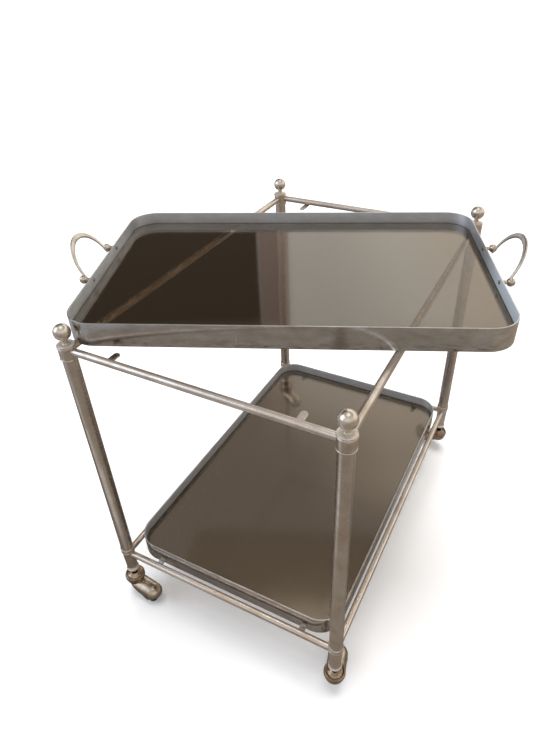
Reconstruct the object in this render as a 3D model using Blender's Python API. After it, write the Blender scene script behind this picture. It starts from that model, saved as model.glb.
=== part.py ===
"""Two-tier bar cart of nickelled tube on four hooded swivel casters.

A serving tray with smoked glass and two crescent handles lies askew on the upper rails, and a second
tray sits on flat tabs between the lower rails. The frame's four posts plug into turned fittings, and
each fitting carries a pintle that a hooded caster swivels on.

Lengths are in metres, +Z is up, and the origin is on the floor below the middle of the cart's box.
X runs along the short side and Y along the long side, so front is -Y and left is -X.
"""

import math

import bmesh
import bpy
from mathutils import Matrix

# Clearance and overrun
FIT_GAP = 0.0003
CUT_OVERRUN = 0.002
WELD_DISTANCE = 0.000001

# Frame: rail heights above the floor, tube sizes
POST_DIAMETER = 0.025
POST_WALL = 0.0015
RAIL_DIAMETER = 0.013
RAIL_WALL = 0.0012
UPPER_RAIL_HEIGHT = 0.653
LOWER_RAIL_HEIGHT = 0.1295

# Upper fitting: a beaded sleeve round the post's top
UPPER_SLEEVE_DIAMETER = 0.0286
UPPER_SLEEVE_ABOVE_RAIL = 0.010
UPPER_SLEEVE_BELOW_RAIL = 0.0155
UPPER_LIP_DIAMETER = 0.030
UPPER_LIP_HEIGHT = 0.0024
UPPER_BEAD_DIAMETER = 0.0298
UPPER_BEAD_HEIGHT = 0.003

# Finial: cap, neck and ball on a plug
FINIAL_CAP_DIAMETER = 0.030
FINIAL_CAP_HEIGHT = 0.0018
FINIAL_CAP_DISH = 0.0005
FINIAL_NECK_DIAMETER = 0.010
FINIAL_NECK_HEIGHT = 0.0085
FINIAL_BALL_DIAMETER = 0.028
FINIAL_PLUG_LENGTH = 0.010

# Lower fitting: a tapered plug below the post, its foot above the floor
LOWER_FITTING_ABOVE_RAIL = 0.0195
LOWER_FITTING_BOTTOM = 0.077
LOWER_HEAD_DIAMETER = 0.0276
LOWER_BEAD_DIAMETER = 0.0286
LOWER_BEAD_HEIGHT = 0.0022
POST_SEAT_DEPTH = 0.010
LOWER_BODY_TOP_DIAMETER = 0.026
LOWER_BODY_FOOT_DIAMETER = 0.0228
COLLAR_DIAMETER = 0.0244
COLLAR_HEIGHT = 0.010
COLLAR_GROOVE = 0.0011
RAIL_SOCKET_INSET = 0.008

# Tabs below the short rails
TAB_SPACING = 0.330
TAB_WIDTH = 0.012
TAB_THICKNESS = 0.0028
TAB_REACH = 0.035
TAB_HEEL = 0.005
TAB_BRAZE_DEPTH = 0.0004

# Trays
TRAY_LENGTH = 0.708
TRAY_WIDTH = 0.455
TRAY_HEIGHT = 0.042
TRAY_CORNER_RADIUS = 0.049
TRAY_STRIP = 0.002
TRAY_EDGE_ROUND = 0.0006
TRAY_LEDGE_WIDTH = 0.006
TRAY_LEDGE_THICKNESS = 0.0015
GLASS_TOP_HEIGHT = 0.020
GLASS_THICKNESS = 0.005
GLASS_BEVEL = 0.0007
LOWER_TRAY_SIDE_GAP = 0.00525
LOWER_TRAY_END_GAP = 0.00925

# How the serving tray lies: its turn, how far off the front left finial, and how far round its corner that is
SERVING_TRAY_TURN = math.radians(23.31)
SERVING_TRAY_CLEARANCE = 0.0043
SERVING_TRAY_CORNER_WAY = math.radians(48.25)

# Crescent handles and the ball knobs that hold them
HANDLE_HALF_WIDTH = 0.0575
HANDLE_RISE = 0.055
HANDLE_FOOT_HALF_WIDTH = 0.0625
HANDLE_TAIL = 0.0025
HANDLE_STRAP_WIDTH = 0.0094
HANDLE_STRAP_END_WIDTH = 0.004
HANDLE_STRAP_THICKNESS = 0.0046
HANDLE_STRAP_END_THICKNESS = 0.0034
HANDLE_LEAN = math.radians(30.0)
KNOB_HEIGHT = 0.0335
KNOB_HALF_SPACING = 0.065
KNOB_STANDOFF = 0.016
KNOB_DIAMETER = 0.0135
KNOB_STEM_DIAMETER = 0.0066
KNOB_FOOT_DIAMETER = 0.010
KNOB_FOOT_THICKNESS = 0.0015
SCREW_DIAMETER = 0.0032
SCREW_HEAD_DIAMETER = 0.0078
SCREW_HEAD_HEIGHT = 0.0022
SCREW_GRIP = 0.0045

# Casters: pintle, cup, hood, axle and wheel, heights above the floor
CUP_DIAMETER = 0.042
CUP_FOOT_DIAMETER = 0.035
CUP_GROOVE_DEPTH = 0.0009
CUP_WALL = 0.0022
CUP_BOTTOM = 0.034
CUP_TOP = 0.0585
CUP_FLOOR_THICKNESS = 0.004
CUP_BOSS_DIAMETER = 0.015
CUP_BOSS_TOP = 0.050
PINTLE_SHANK_DIAMETER = 0.010
PINTLE_SHANK_LENGTH = 0.022
PINTLE_BODY_DIAMETER = 0.013
PINTLE_TAIL_DIAMETER = 0.008
PINTLE_HEAD_DIAMETER = 0.012
PINTLE_HEAD_HEIGHT = 0.002
HOOD_RADIUS = 0.0195
HOOD_WALL = 0.0012
HOOD_CENTRE_HEIGHT = 0.024
HOOD_FRONT_TRAIL = 0.0145
HOOD_REAR_TRAIL = 0.049
HOOD_SKIRT_FRONT = 0.007
HOOD_SKIRT_REAR = 0.0115
WHEEL_RADIUS = 0.019
WHEEL_TRAIL = 0.0444
WHEEL_WIDTH = 0.024
WHEEL_CROWN = 0.0022
WHEEL_TREAD_FLAT = 0.010
WHEEL_DISH = 0.0015
WHEEL_HUB_DIAMETER = 0.011
AXLE_DIAMETER = 0.005
AXLE_HEAD = 0.0006
AXLE_SIDE_PLAY = 0.0005

# Ways that the four casters trail, anticlockwise from +X
CASTER_HEADINGS = {
    "front_left": math.radians(-6.0),
    "front_right": math.radians(104.0),
    "rear_right": math.radians(162.0),
    "rear_left": math.radians(-29.0),
}

# Corners, each with its signs along X and Y and its quarter turns from front left
CORNERS = {
    "front_left": (-1, -1, 0),
    "front_right": (1, -1, 1),
    "rear_right": (1, 1, 2),
    "rear_left": (-1, 1, 3),
}

# Facet counts
POST_SIDES = 12
FINIAL_SIDES = 12
BALL_STEPS = 6
RAIL_SIDES = 12
CUP_SIDES = 16
WHEEL_SIDES = 16
PINTLE_SIDES = 8
AXLE_SIDES = 8
HOOD_END_STEPS = 6
HOOD_DOME_STEPS = 3
TRAY_CORNER_STEPS = 5
TAB_END_STEPS = 5
HANDLE_STEPS = 15
KNOB_SIDES = 8
KNOB_STEPS = 5
SCREW_SIDES = 8

# Sizes worked out from the ones above: the frame goes round the lower tray
POST_SPACING_X = TRAY_WIDTH + RAIL_DIAMETER + 2 * LOWER_TRAY_SIDE_GAP
POST_SPACING_Y = TRAY_LENGTH + RAIL_DIAMETER + 2 * LOWER_TRAY_END_GAP
POST_RADIUS = POST_DIAMETER / 2
POST_BORE_RADIUS = POST_RADIUS - POST_WALL
RAIL_RADIUS = RAIL_DIAMETER / 2
SLEEVE_TOP = UPPER_RAIL_HEIGHT + UPPER_SLEEVE_ABOVE_RAIL
SLEEVE_BOTTOM = UPPER_RAIL_HEIGHT - UPPER_SLEEVE_BELOW_RAIL
LOWER_FITTING_TOP = LOWER_RAIL_HEIGHT + LOWER_FITTING_ABOVE_RAIL
POST_FOOT = LOWER_FITTING_TOP - POST_SEAT_DEPTH
SERVING_TRAY_BOTTOM = UPPER_RAIL_HEIGHT + RAIL_RADIUS + FIT_GAP
LOWER_TRAY_BOTTOM = LOWER_RAIL_HEIGHT - RAIL_RADIUS + TAB_BRAZE_DEPTH + FIT_GAP
PINTLE_BODY_BOTTOM = CUP_BOSS_TOP + FIT_GAP
PINTLE_BODY_TOP = LOWER_FITTING_BOTTOM - FIT_GAP

# Turn that lays a turned piece's axis along X
OUTWARDS = Matrix.Rotation(math.pi / 2, 4, "Y")


def clear_scene():
    """Remove whatever the file held before."""
    for old in list(bpy.data.objects):
        bpy.data.objects.remove(old, do_unlink=True)


def finish(name, colour, roughness, metallic):
    """A plain surface with one colour, roughness and metallic value."""
    material = bpy.data.materials.new(name)
    material.use_nodes = True
    shader = material.node_tree.nodes["Principled BSDF"]
    shader.inputs["Base Color"].default_value = (*colour, 1.0)
    shader.inputs["Roughness"].default_value = roughness
    shader.inputs["Metallic"].default_value = metallic
    material.diffuse_color = (*colour, 1.0)
    return material


def finished_mesh(name, bm):
    """Weld a drawn shape, turn its faces outwards and hand it over as a smooth mesh."""
    bmesh.ops.remove_doubles(bm, verts=bm.verts, dist=WELD_DISTANCE)
    bmesh.ops.recalc_face_normals(bm, faces=bm.faces)
    mesh = bpy.data.meshes.new(name)
    bm.to_mesh(mesh)
    bm.free()
    mesh.shade_smooth()
    mesh.set_sharp_from_angle(angle=math.radians(40.0))
    return mesh


def turned(name, outline, sides, closed=False):
    """Turn an outline of (radius, height) points about Z into a solid.

    An open outline starts and ends on the axis. A closed one stays off it and leaves a bore.
    """
    bm = bmesh.new()
    points = [bm.verts.new((radius, 0, height)) for radius, height in outline]
    edges = [bm.edges.new(pair) for pair in zip(points, points[1:])]
    if closed:
        edges.append(bm.edges.new((points[-1], points[0])))
    bmesh.ops.spin(
        bm,
        geom=points + edges,
        axis=(0, 0, 1),
        cent=(0, 0, 0),
        angle=math.tau,
        steps=sides,
        use_merge=True,
    )
    return finished_mesh(name, bm)


def lofted(name, rings, closed=False):
    """Skin rings of points, either into a closed tunnel or with flat ends."""
    bm = bmesh.new()
    loops = [[bm.verts.new(point) for point in ring] for ring in rings]
    pairs = list(zip(loops, loops[1:]))
    if closed:
        pairs.append((loops[-1], loops[0]))
    else:
        bm.faces.new(loops[0])
        bm.faces.new(loops[-1])
    for lower, upper in pairs:
        for index in range(len(lower)):
            follower = (index + 1) % len(lower)
            bm.faces.new((lower[index], lower[follower], upper[follower], upper[index]))
    return finished_mesh(name, bm)


def rod(name, radius, low, high, sides):
    """A plain round rod along Z, used as a cutter."""
    return turned(name, [(0, low), (radius, low), (radius, high), (0, high)], sides)


def tube(name, radius, wall, low, high, sides):
    """A round tube along Z, open at both ends."""
    bore = radius - wall
    return turned(name, [(bore, low), (radius, low), (radius, high), (bore, high)], sides, closed=True)


def bead(radius, inner_radius, low, height):
    """Three points of a ring that stands out of a turned body, from its low edge up."""
    shoulder_share = 0.4
    shoulder = inner_radius + (radius - inner_radius) * shoulder_share
    return [(shoulder, low), (radius, low + height / 2), (shoulder, low + height)]


def carved(mesh, cutters, wall=0, operation="DIFFERENCE"):
    """Hollow an open skin to a wall, where one is given, and cut other meshes out of it or join them on."""
    body = bpy.data.objects.new("carving", mesh)
    bpy.context.collection.objects.link(body)
    helpers = []
    if wall:
        shell = body.modifiers.new("wall", "SOLIDIFY")
        shell.thickness = wall
        shell.offset = -1
        shell.use_even_offset = True
    for cutter in cutters:
        helper = bpy.data.objects.new("cutter", cutter)
        helper.hide_render = True
        helper.display_type = "WIRE"
        bpy.context.collection.objects.link(helper)
        cut = body.modifiers.new("cut", "BOOLEAN")
        cut.operation = operation
        cut.solver = "EXACT"
        cut.object = helper
        helpers.append(helper)
    depsgraph = bpy.context.evaluated_depsgraph_get()
    result = bpy.data.meshes.new_from_object(body.evaluated_get(depsgraph))
    result.name = mesh.name
    for used in [body] + helpers:
        bpy.data.objects.remove(used, do_unlink=True)
    return result


def moved(mesh, matrix):
    """A copy of a mesh, moved or mirrored by a matrix."""
    copy = mesh.copy()
    copy.transform(matrix)
    if matrix.determinant() < 0:
        copy.flip_normals()
    return copy


def empty(name, location=(0, 0, 0), turn=0, parent=None):
    """A frame that pieces hang on."""
    holder = bpy.data.objects.new(name, None)
    bpy.context.collection.objects.link(holder)
    holder.parent = parent
    holder.location = location
    holder.rotation_euler = (0, 0, turn)
    return holder


def piece(name, mesh, material, parent, location=(0, 0, 0), rotation=(0, 0, 0)):
    """One sub-part, placed under its parent."""
    part = bpy.data.objects.new(name, mesh)
    bpy.context.collection.objects.link(part)
    if not mesh.materials:
        mesh.materials.append(material)
    part.parent = parent
    part.location = location
    part.rotation_euler = rotation
    return part


# Frame


def upper_fitting_mesh():
    """Beaded sleeve with a lip, a bore for the post and two side sockets for the rails."""
    body = UPPER_SLEEVE_DIAMETER / 2
    bore = POST_RADIUS + FIT_GAP
    outline = [(bore, SLEEVE_BOTTOM)]
    outline += bead(UPPER_BEAD_DIAMETER / 2, body, SLEEVE_BOTTOM, UPPER_BEAD_HEIGHT)
    outline += [(body, SLEEVE_BOTTOM + UPPER_BEAD_HEIGHT), (body, SLEEVE_TOP - UPPER_LIP_HEIGHT)]
    outline += bead(UPPER_LIP_DIAMETER / 2, body, SLEEVE_TOP - UPPER_LIP_HEIGHT, UPPER_LIP_HEIGHT)
    outline += [(bore, SLEEVE_TOP)]
    sleeve = turned("upper_fitting", outline, POST_SIDES, closed=True)
    return carved(sleeve, rail_socket_cutters(UPPER_RAIL_HEIGHT, 0))


def rail_socket_cutters(height, inset):
    """Round cutters along +X and +Y, from an inset off the post's axis out past the fitting."""
    outer_end = POST_DIAMETER + CUT_OVERRUN
    socket = rod("socket", RAIL_RADIUS + FIT_GAP, inset, outer_end, RAIL_SIDES)
    lift = Matrix.Translation((0, 0, height))
    along_x = lift @ Matrix.Rotation(math.pi / 2, 4, "Y")
    along_y = lift @ Matrix.Rotation(-math.pi / 2, 4, "X")
    return [moved(socket, along_x), moved(socket, along_y)]


def finial_mesh():
    """Plug, dished cap, neck and ball, turned in one piece, with its zero at the sleeve's top."""
    plug = POST_BORE_RADIUS - FIT_GAP
    cap = FINIAL_CAP_DIAMETER / 2
    neck = FINIAL_NECK_DIAMETER / 2
    ball = FINIAL_BALL_DIAMETER / 2
    cap_low = FIT_GAP
    cap_high = cap_low + FINIAL_CAP_HEIGHT
    rim_share = 0.9
    ball_centre = cap_high + FINIAL_NECK_HEIGHT + math.sqrt(ball**2 - neck**2)
    outline = [
        (0, -FINIAL_PLUG_LENGTH),
        (plug, -FINIAL_PLUG_LENGTH),
        (plug, cap_low),
        (cap * rim_share, cap_low),
        (cap, cap_low + FINIAL_CAP_DISH),
        (cap, cap_high - FINIAL_CAP_DISH),
        (cap * rim_share, cap_high),
        (neck, cap_high - FINIAL_CAP_DISH),
    ]
    start = -math.acos(neck / ball)
    for step in range(BALL_STEPS):
        angle = start + (math.pi / 2 - start) * step / BALL_STEPS
        outline.append((ball * math.cos(angle), ball_centre + ball * math.sin(angle)))
    outline.append((0, ball_centre + ball))
    return turned("finial", outline, FINIAL_SIDES)


def lower_fitting_mesh():
    """Beaded head with the post's seat, a tapered body with rail sockets, and a collar."""
    head = LOWER_HEAD_DIAMETER / 2
    seat = POST_RADIUS + FIT_GAP
    seat_floor = POST_FOOT - FIT_GAP
    head_bottom = seat_floor - LOWER_BEAD_HEIGHT
    collar = COLLAR_DIAMETER / 2
    collar_top = LOWER_FITTING_BOTTOM + COLLAR_HEIGHT
    foot = LOWER_BODY_FOOT_DIAMETER / 2
    bore = PINTLE_SHANK_DIAMETER / 2 + FIT_GAP
    bore_top = LOWER_FITTING_BOTTOM + PINTLE_SHANK_LENGTH + FIT_GAP
    outline = [
        (0, bore_top),
        (bore, bore_top),
        (bore, LOWER_FITTING_BOTTOM),
        (collar, LOWER_FITTING_BOTTOM),
        (collar, collar_top - COLLAR_GROOVE),
        (foot - COLLAR_GROOVE, collar_top),
        (foot, collar_top + COLLAR_GROOVE),
        (LOWER_BODY_TOP_DIAMETER / 2, head_bottom),
    ]
    outline += bead(LOWER_BEAD_DIAMETER / 2, head, head_bottom, LOWER_BEAD_HEIGHT)
    outline += [(head, LOWER_FITTING_TOP - LOWER_BEAD_HEIGHT)]
    outline += bead(LOWER_BEAD_DIAMETER / 2, head, LOWER_FITTING_TOP - LOWER_BEAD_HEIGHT, LOWER_BEAD_HEIGHT)
    outline += [(seat, LOWER_FITTING_TOP), (seat, seat_floor), (0, seat_floor)]
    plug = turned("lower_fitting", outline, POST_SIDES)
    return carved(plug, rail_socket_cutters(LOWER_RAIL_HEIGHT, RAIL_SOCKET_INSET))


def tabbed_rail_mesh(name, half_length):
    """Short rail along X with two flat round-ended tongues brazed below it, which reach along +Y."""
    rail = tube(name, RAIL_RADIUS, RAIL_WALL, -half_length, half_length, RAIL_SIDES)
    half = TAB_WIDTH / 2
    straight = TAB_REACH - half
    plan = [(-half, -TAB_HEEL), (half, -TAB_HEEL)]
    for step in range(TAB_END_STEPS + 1):
        angle = math.pi * step / TAB_END_STEPS
        plan.append((half * math.cos(angle), straight + half * math.sin(angle)))
    top = -RAIL_RADIUS + TAB_BRAZE_DEPTH
    rings = [[(x, y, level) for x, y in plan] for level in (top - TAB_THICKNESS, top)]
    tongue = lofted("tab", rings)
    tongues = [moved(tongue, Matrix.Translation((side * TAB_SPACING / 2, 0, 0))) for side in (-1, 1)]
    return carved(moved(rail, Matrix.Rotation(math.pi / 2, 4, "Y")), tongues, operation="UNION")


def build_frame(cart):
    """Posts, fittings, finials and rails."""
    tube_finish = finish("tube nickel", (0.42, 0.37, 0.30), 0.28, 1.0)
    fitting_finish = finish("fitting nickel", (0.46, 0.41, 0.33), 0.24, 1.0)
    half_x = POST_SPACING_X / 2
    half_y = POST_SPACING_Y / 2
    meshes = {
        "post": tube("post", POST_RADIUS, POST_WALL, POST_FOOT, SLEEVE_TOP, POST_SIDES),
        "upper_fitting": upper_fitting_mesh(),
        "lower_fitting": lower_fitting_mesh(),
        "finial": finial_mesh(),
    }
    for corner, (side_x, side_y, turns) in CORNERS.items():
        place = (side_x * half_x, side_y * half_y, 0)
        turn = (0, 0, turns * math.pi / 2)
        piece("post_" + corner, meshes["post"], tube_finish, cart, place, turn)
        for kind in ("upper_fitting", "lower_fitting"):
            piece(kind + "_" + corner, meshes[kind], fitting_finish, cart, place, turn)
        cap_place = (place[0], place[1], SLEEVE_TOP)
        piece("finial_" + corner, meshes["finial"], fitting_finish, cart, cap_place, turn)
    tiers = {
        "upper": (UPPER_RAIL_HEIGHT, POST_RADIUS + FIT_GAP),
        "lower": (LOWER_RAIL_HEIGHT, RAIL_SOCKET_INSET + FIT_GAP),
    }
    for tier, (height, inset) in tiers.items():
        half_short = half_x - inset
        half_long = half_y - inset
        short = tabbed_rail_mesh(tier + "_short_rail", half_short)
        long = tube(tier + "_long_rail", RAIL_RADIUS, RAIL_WALL, -half_long, half_long, RAIL_SIDES)
        for end, side in (("front", -1), ("rear", 1)):
            middle = (0, side * half_y, height)
            inward = (0, 0, 0 if side < 0 else math.pi)
            piece(tier + "_rail_" + end, short, tube_finish, cart, middle, inward)
        for end, side in (("left", -1), ("right", 1)):
            middle = (side * half_x, 0, height)
            piece(tier + "_rail_" + end, long, tube_finish, cart, middle, (math.pi / 2, 0, 0))


# Casters


def pintle_mesh():
    """Swivel pin: shank in the fitting, body on the cup's boss, tail and head below the cup."""
    shank = PINTLE_SHANK_DIAMETER / 2
    body = PINTLE_BODY_DIAMETER / 2
    tail = PINTLE_TAIL_DIAMETER / 2
    head = PINTLE_HEAD_DIAMETER / 2
    head_top = CUP_BOTTOM - FIT_GAP
    outline = [
        (0, head_top - PINTLE_HEAD_HEIGHT),
        (head, head_top - PINTLE_HEAD_HEIGHT),
        (head, head_top),
        (tail, head_top),
        (tail, PINTLE_BODY_BOTTOM),
        (body, PINTLE_BODY_BOTTOM),
        (body, PINTLE_BODY_TOP),
        (shank, PINTLE_BODY_TOP),
        (shank, LOWER_FITTING_BOTTOM + PINTLE_SHANK_LENGTH),
        (0, LOWER_FITTING_BOTTOM + PINTLE_SHANK_LENGTH),
    ]
    return turned("caster_pintle", outline, PINTLE_SIDES)


def cup_outline(clearance):
    """Outer side of the cup from its foot up, set off by a clearance."""
    foot = CUP_FOOT_DIAMETER / 2 + clearance
    outer = CUP_DIAMETER / 2 + clearance
    groove = outer - CUP_GROOVE_DEPTH
    height = CUP_TOP - CUP_BOTTOM
    rise_shares = [(groove, 0.13), (outer, 0.22), (groove, 0.34), (outer, 0.46), (groove, 0.58), (outer, 0.86)]
    outline = [(foot, CUP_BOTTOM - clearance)]
    outline += [(radius, CUP_BOTTOM + height * share) for radius, share in rise_shares]
    return outline


def cup_mesh():
    """Grooved dish with an open top and a bored boss that turns on the pintle."""
    bore = PINTLE_TAIL_DIAMETER / 2 + FIT_GAP
    boss = CUP_BOSS_DIAMETER / 2
    inner = CUP_DIAMETER / 2 - CUP_WALL
    rim = CUP_DIAMETER / 2 - CUP_GROOVE_DEPTH
    floor = CUP_BOTTOM + CUP_FLOOR_THICKNESS
    outline = [(bore, CUP_BOTTOM)] + cup_outline(0)
    outline += [
        (rim, CUP_TOP),
        (inner, CUP_TOP),
        (inner - CUP_GROOVE_DEPTH, floor + CUP_WALL),
        (inner - CUP_WALL, floor),
        (boss, floor),
        (boss, CUP_BOSS_TOP),
        (bore, CUP_BOSS_TOP),
    ]
    return turned("caster_cup", outline, CUP_SIDES, closed=True)


def hood_ring(radius, level_at):
    """Plan of the hood at one level: a long shape with round ends, trailing along +X."""
    ring = []
    for centre, start in ((HOOD_REAR_TRAIL, -math.pi / 2), (HOOD_FRONT_TRAIL, math.pi / 2)):
        for step in range(HOOD_END_STEPS + 1):
            angle = start + math.pi * step / HOOD_END_STEPS
            x = centre + radius * math.cos(angle)
            ring.append((x, radius * math.sin(angle), level_at(x)))
    return ring


def hood_skin():
    """Open skin of the hood: slanting skirt, upright sides and domed top."""
    front = HOOD_FRONT_TRAIL - HOOD_RADIUS
    length = HOOD_REAR_TRAIL + HOOD_RADIUS - front
    slope = (HOOD_SKIRT_REAR - HOOD_SKIRT_FRONT) / length
    rings = [hood_ring(HOOD_RADIUS, lambda x: HOOD_SKIRT_FRONT + slope * (x - front))]
    top_angle = math.radians(80.0)
    for step in range(HOOD_DOME_STEPS + 1):
        angle = top_angle * step / HOOD_DOME_STEPS
        level = HOOD_CENTRE_HEIGHT + HOOD_RADIUS * math.sin(angle)
        rings.append(hood_ring(HOOD_RADIUS * math.cos(angle), lambda x: level))
    bm = bmesh.new()
    loops = [[bm.verts.new(point) for point in ring] for ring in rings]
    for lower, upper in zip(loops, loops[1:]):
        for index in range(len(lower)):
            follower = (index + 1) % len(lower)
            bm.faces.new((lower[index], lower[follower], upper[follower], upper[index]))
    bm.faces.new(loops[-1])
    return finished_mesh("caster_hood", bm)


def hood_mesh():
    """Shell over the wheel, opened for the cup, for the pintle's head and for the axle."""
    head = PINTLE_HEAD_DIAMETER / 2 + FIT_GAP
    head_low = CUP_BOTTOM - PINTLE_HEAD_HEIGHT - FIT_GAP - FIT_GAP
    above = CUP_TOP + CUT_OVERRUN
    seat = [(0, head_low), (head, head_low), (head, CUP_BOTTOM - FIT_GAP)] + cup_outline(FIT_GAP)
    seat += [(CUP_DIAMETER / 2 + FIT_GAP, above), (0, above)]
    seat_cutter = turned("cup_seat", seat, CUP_SIDES)
    reach = HOOD_RADIUS + CUT_OVERRUN
    hole = rod("axle_hole", AXLE_DIAMETER / 2 + FIT_GAP, -reach, reach, AXLE_SIDES)
    across = Matrix.Translation((WHEEL_TRAIL, 0, WHEEL_RADIUS)) @ Matrix.Rotation(math.pi / 2, 4, "X")
    return carved(hood_skin(), [seat_cutter, moved(hole, across)], wall=HOOD_WALL)


def axle_mesh():
    """Plain pin across the hood, with its ends a little proud of the skirt."""
    radius = AXLE_DIAMETER / 2
    half = HOOD_RADIUS + AXLE_HEAD
    end_share = 0.7
    outline = [
        (0, -half),
        (radius * end_share, -half),
        (radius, -HOOD_RADIUS),
        (radius, HOOD_RADIUS),
        (radius * end_share, half),
        (0, half),
    ]
    return turned("caster_axle", outline, AXLE_SIDES)


def wheel_mesh():
    """Crowned wheel with dished sides and a long hub, whose flats touch its true radius."""
    true_radius = math.cos(math.pi / WHEEL_SIDES)
    bore = (AXLE_DIAMETER / 2 + FIT_GAP) / true_radius
    hub = WHEEL_HUB_DIAMETER / 2 / true_radius
    hub_half = HOOD_RADIUS - HOOD_WALL - AXLE_SIDE_PLAY
    half = WHEEL_WIDTH / 2
    tread = WHEEL_RADIUS / true_radius
    edge = (WHEEL_RADIUS - WHEEL_CROWN) / true_radius
    side = [
        (bore, -hub_half),
        (hub, -hub_half),
        (hub, -half + WHEEL_DISH),
        (edge, -half),
        (tread, -WHEEL_TREAD_FLAT / 2),
    ]
    outline = side + [(radius, -level) for radius, level in reversed(side)]
    return turned("caster_wheel", outline, WHEEL_SIDES, closed=True)


def build_casters(cart):
    """Four casters, each on an empty at its swivel axis that is turned to its heading."""
    pintle_finish = finish("pintle steel", (0.10, 0.09, 0.08), 0.45, 1.0)
    caster_finish = finish("caster bronze", (0.26, 0.20, 0.15), 0.34, 1.0)
    axle_finish = finish("axle steel", (0.30, 0.28, 0.25), 0.35, 1.0)
    wheel_finish = finish("wheel rubber", (0.03, 0.03, 0.03), 0.70, 0.0)
    meshes = {
        "pintle": pintle_mesh(),
        "cup": cup_mesh(),
        "hood": hood_mesh(),
        "axle": axle_mesh(),
        "wheel": wheel_mesh(),
    }
    axle_place = (WHEEL_TRAIL, 0, WHEEL_RADIUS)
    flat_down = (math.pi / 2, math.pi / WHEEL_SIDES, 0)
    for corner, (side_x, side_y, turns) in CORNERS.items():
        place = (side_x * POST_SPACING_X / 2, side_y * POST_SPACING_Y / 2, 0)
        piece("caster_pintle_" + corner, meshes["pintle"], pintle_finish, cart, place)
        swivel = empty("swivel_" + corner, place, CASTER_HEADINGS[corner], cart)
        piece("caster_cup_" + corner, meshes["cup"], caster_finish, swivel)
        piece("caster_hood_" + corner, meshes["hood"], caster_finish, swivel)
        piece("caster_axle_" + corner, meshes["axle"], axle_finish, swivel, axle_place, (math.pi / 2, 0, 0))
        piece("caster_wheel_" + corner, meshes["wheel"], wheel_finish, swivel, axle_place, flat_down)


# Trays


def tray_ring(inset, level):
    """Plan of a tray, long side along X, drawn in by an inset."""
    radius = TRAY_CORNER_RADIUS - inset
    centre_x = TRAY_LENGTH / 2 - TRAY_CORNER_RADIUS
    centre_y = TRAY_WIDTH / 2 - TRAY_CORNER_RADIUS
    ring = []
    for quarter, (side_x, side_y) in enumerate(((1, 1), (-1, 1), (-1, -1), (1, -1))):
        for step in range(TRAY_CORNER_STEPS + 1):
            angle = (quarter + step / TRAY_CORNER_STEPS) * math.pi / 2
            x = side_x * centre_x + radius * math.cos(angle)
            y = side_y * centre_y + radius * math.sin(angle)
            ring.append((x, y, level))
    return ring


def rim_mesh(name):
    """Bent strip with a narrow inner ledge that carries the glass."""
    ledge_top = GLASS_TOP_HEIGHT - GLASS_THICKNESS - FIT_GAP
    ledge_bottom = ledge_top - TRAY_LEDGE_THICKNESS
    ledge = TRAY_STRIP + TRAY_LEDGE_WIDTH
    section = [
        (0, 0),
        (0, TRAY_HEIGHT - TRAY_EDGE_ROUND),
        (TRAY_EDGE_ROUND, TRAY_HEIGHT),
        (TRAY_STRIP - TRAY_EDGE_ROUND, TRAY_HEIGHT),
        (TRAY_STRIP, TRAY_HEIGHT - TRAY_EDGE_ROUND),
        (TRAY_STRIP, ledge_top),
        (ledge, ledge_top),
        (ledge, ledge_bottom),
        (TRAY_STRIP, ledge_bottom),
        (TRAY_STRIP, 0),
    ]
    return lofted(name, [tray_ring(inset, level) for inset, level in section], closed=True)


def glass_mesh(name):
    """Pane with rounded corners and ground edges, inside the strip and on the ledge."""
    inset = TRAY_STRIP + FIT_GAP
    low = GLASS_TOP_HEIGHT - GLASS_THICKNESS
    section = [
        (inset + GLASS_BEVEL, low),
        (inset, low + GLASS_BEVEL),
        (inset, GLASS_TOP_HEIGHT - GLASS_BEVEL),
        (inset + GLASS_BEVEL, GLASS_TOP_HEIGHT),
    ]
    return lofted(name, [tray_ring(edge, level) for edge, level in section])


def screw_hole_cutters():
    """Rods through the short sides of the rim, at the four knobs."""
    start = TRAY_LENGTH / 2 - TRAY_STRIP - CUT_OVERRUN
    end = TRAY_LENGTH / 2 + CUT_OVERRUN
    hole = moved(rod("screw_hole", SCREW_DIAMETER / 2 + FIT_GAP, start, end, SCREW_SIDES), OUTWARDS)
    cutters = []
    for end_side in (-1, 1):
        for side in (-1, 1):
            place = Matrix.Translation((0, side * KNOB_HALF_SPACING, KNOB_HEIGHT))
            face = Matrix.Rotation(0 if end_side > 0 else math.pi, 4, "Z")
            cutters.append(moved(hole, face @ place))
    return cutters


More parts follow.
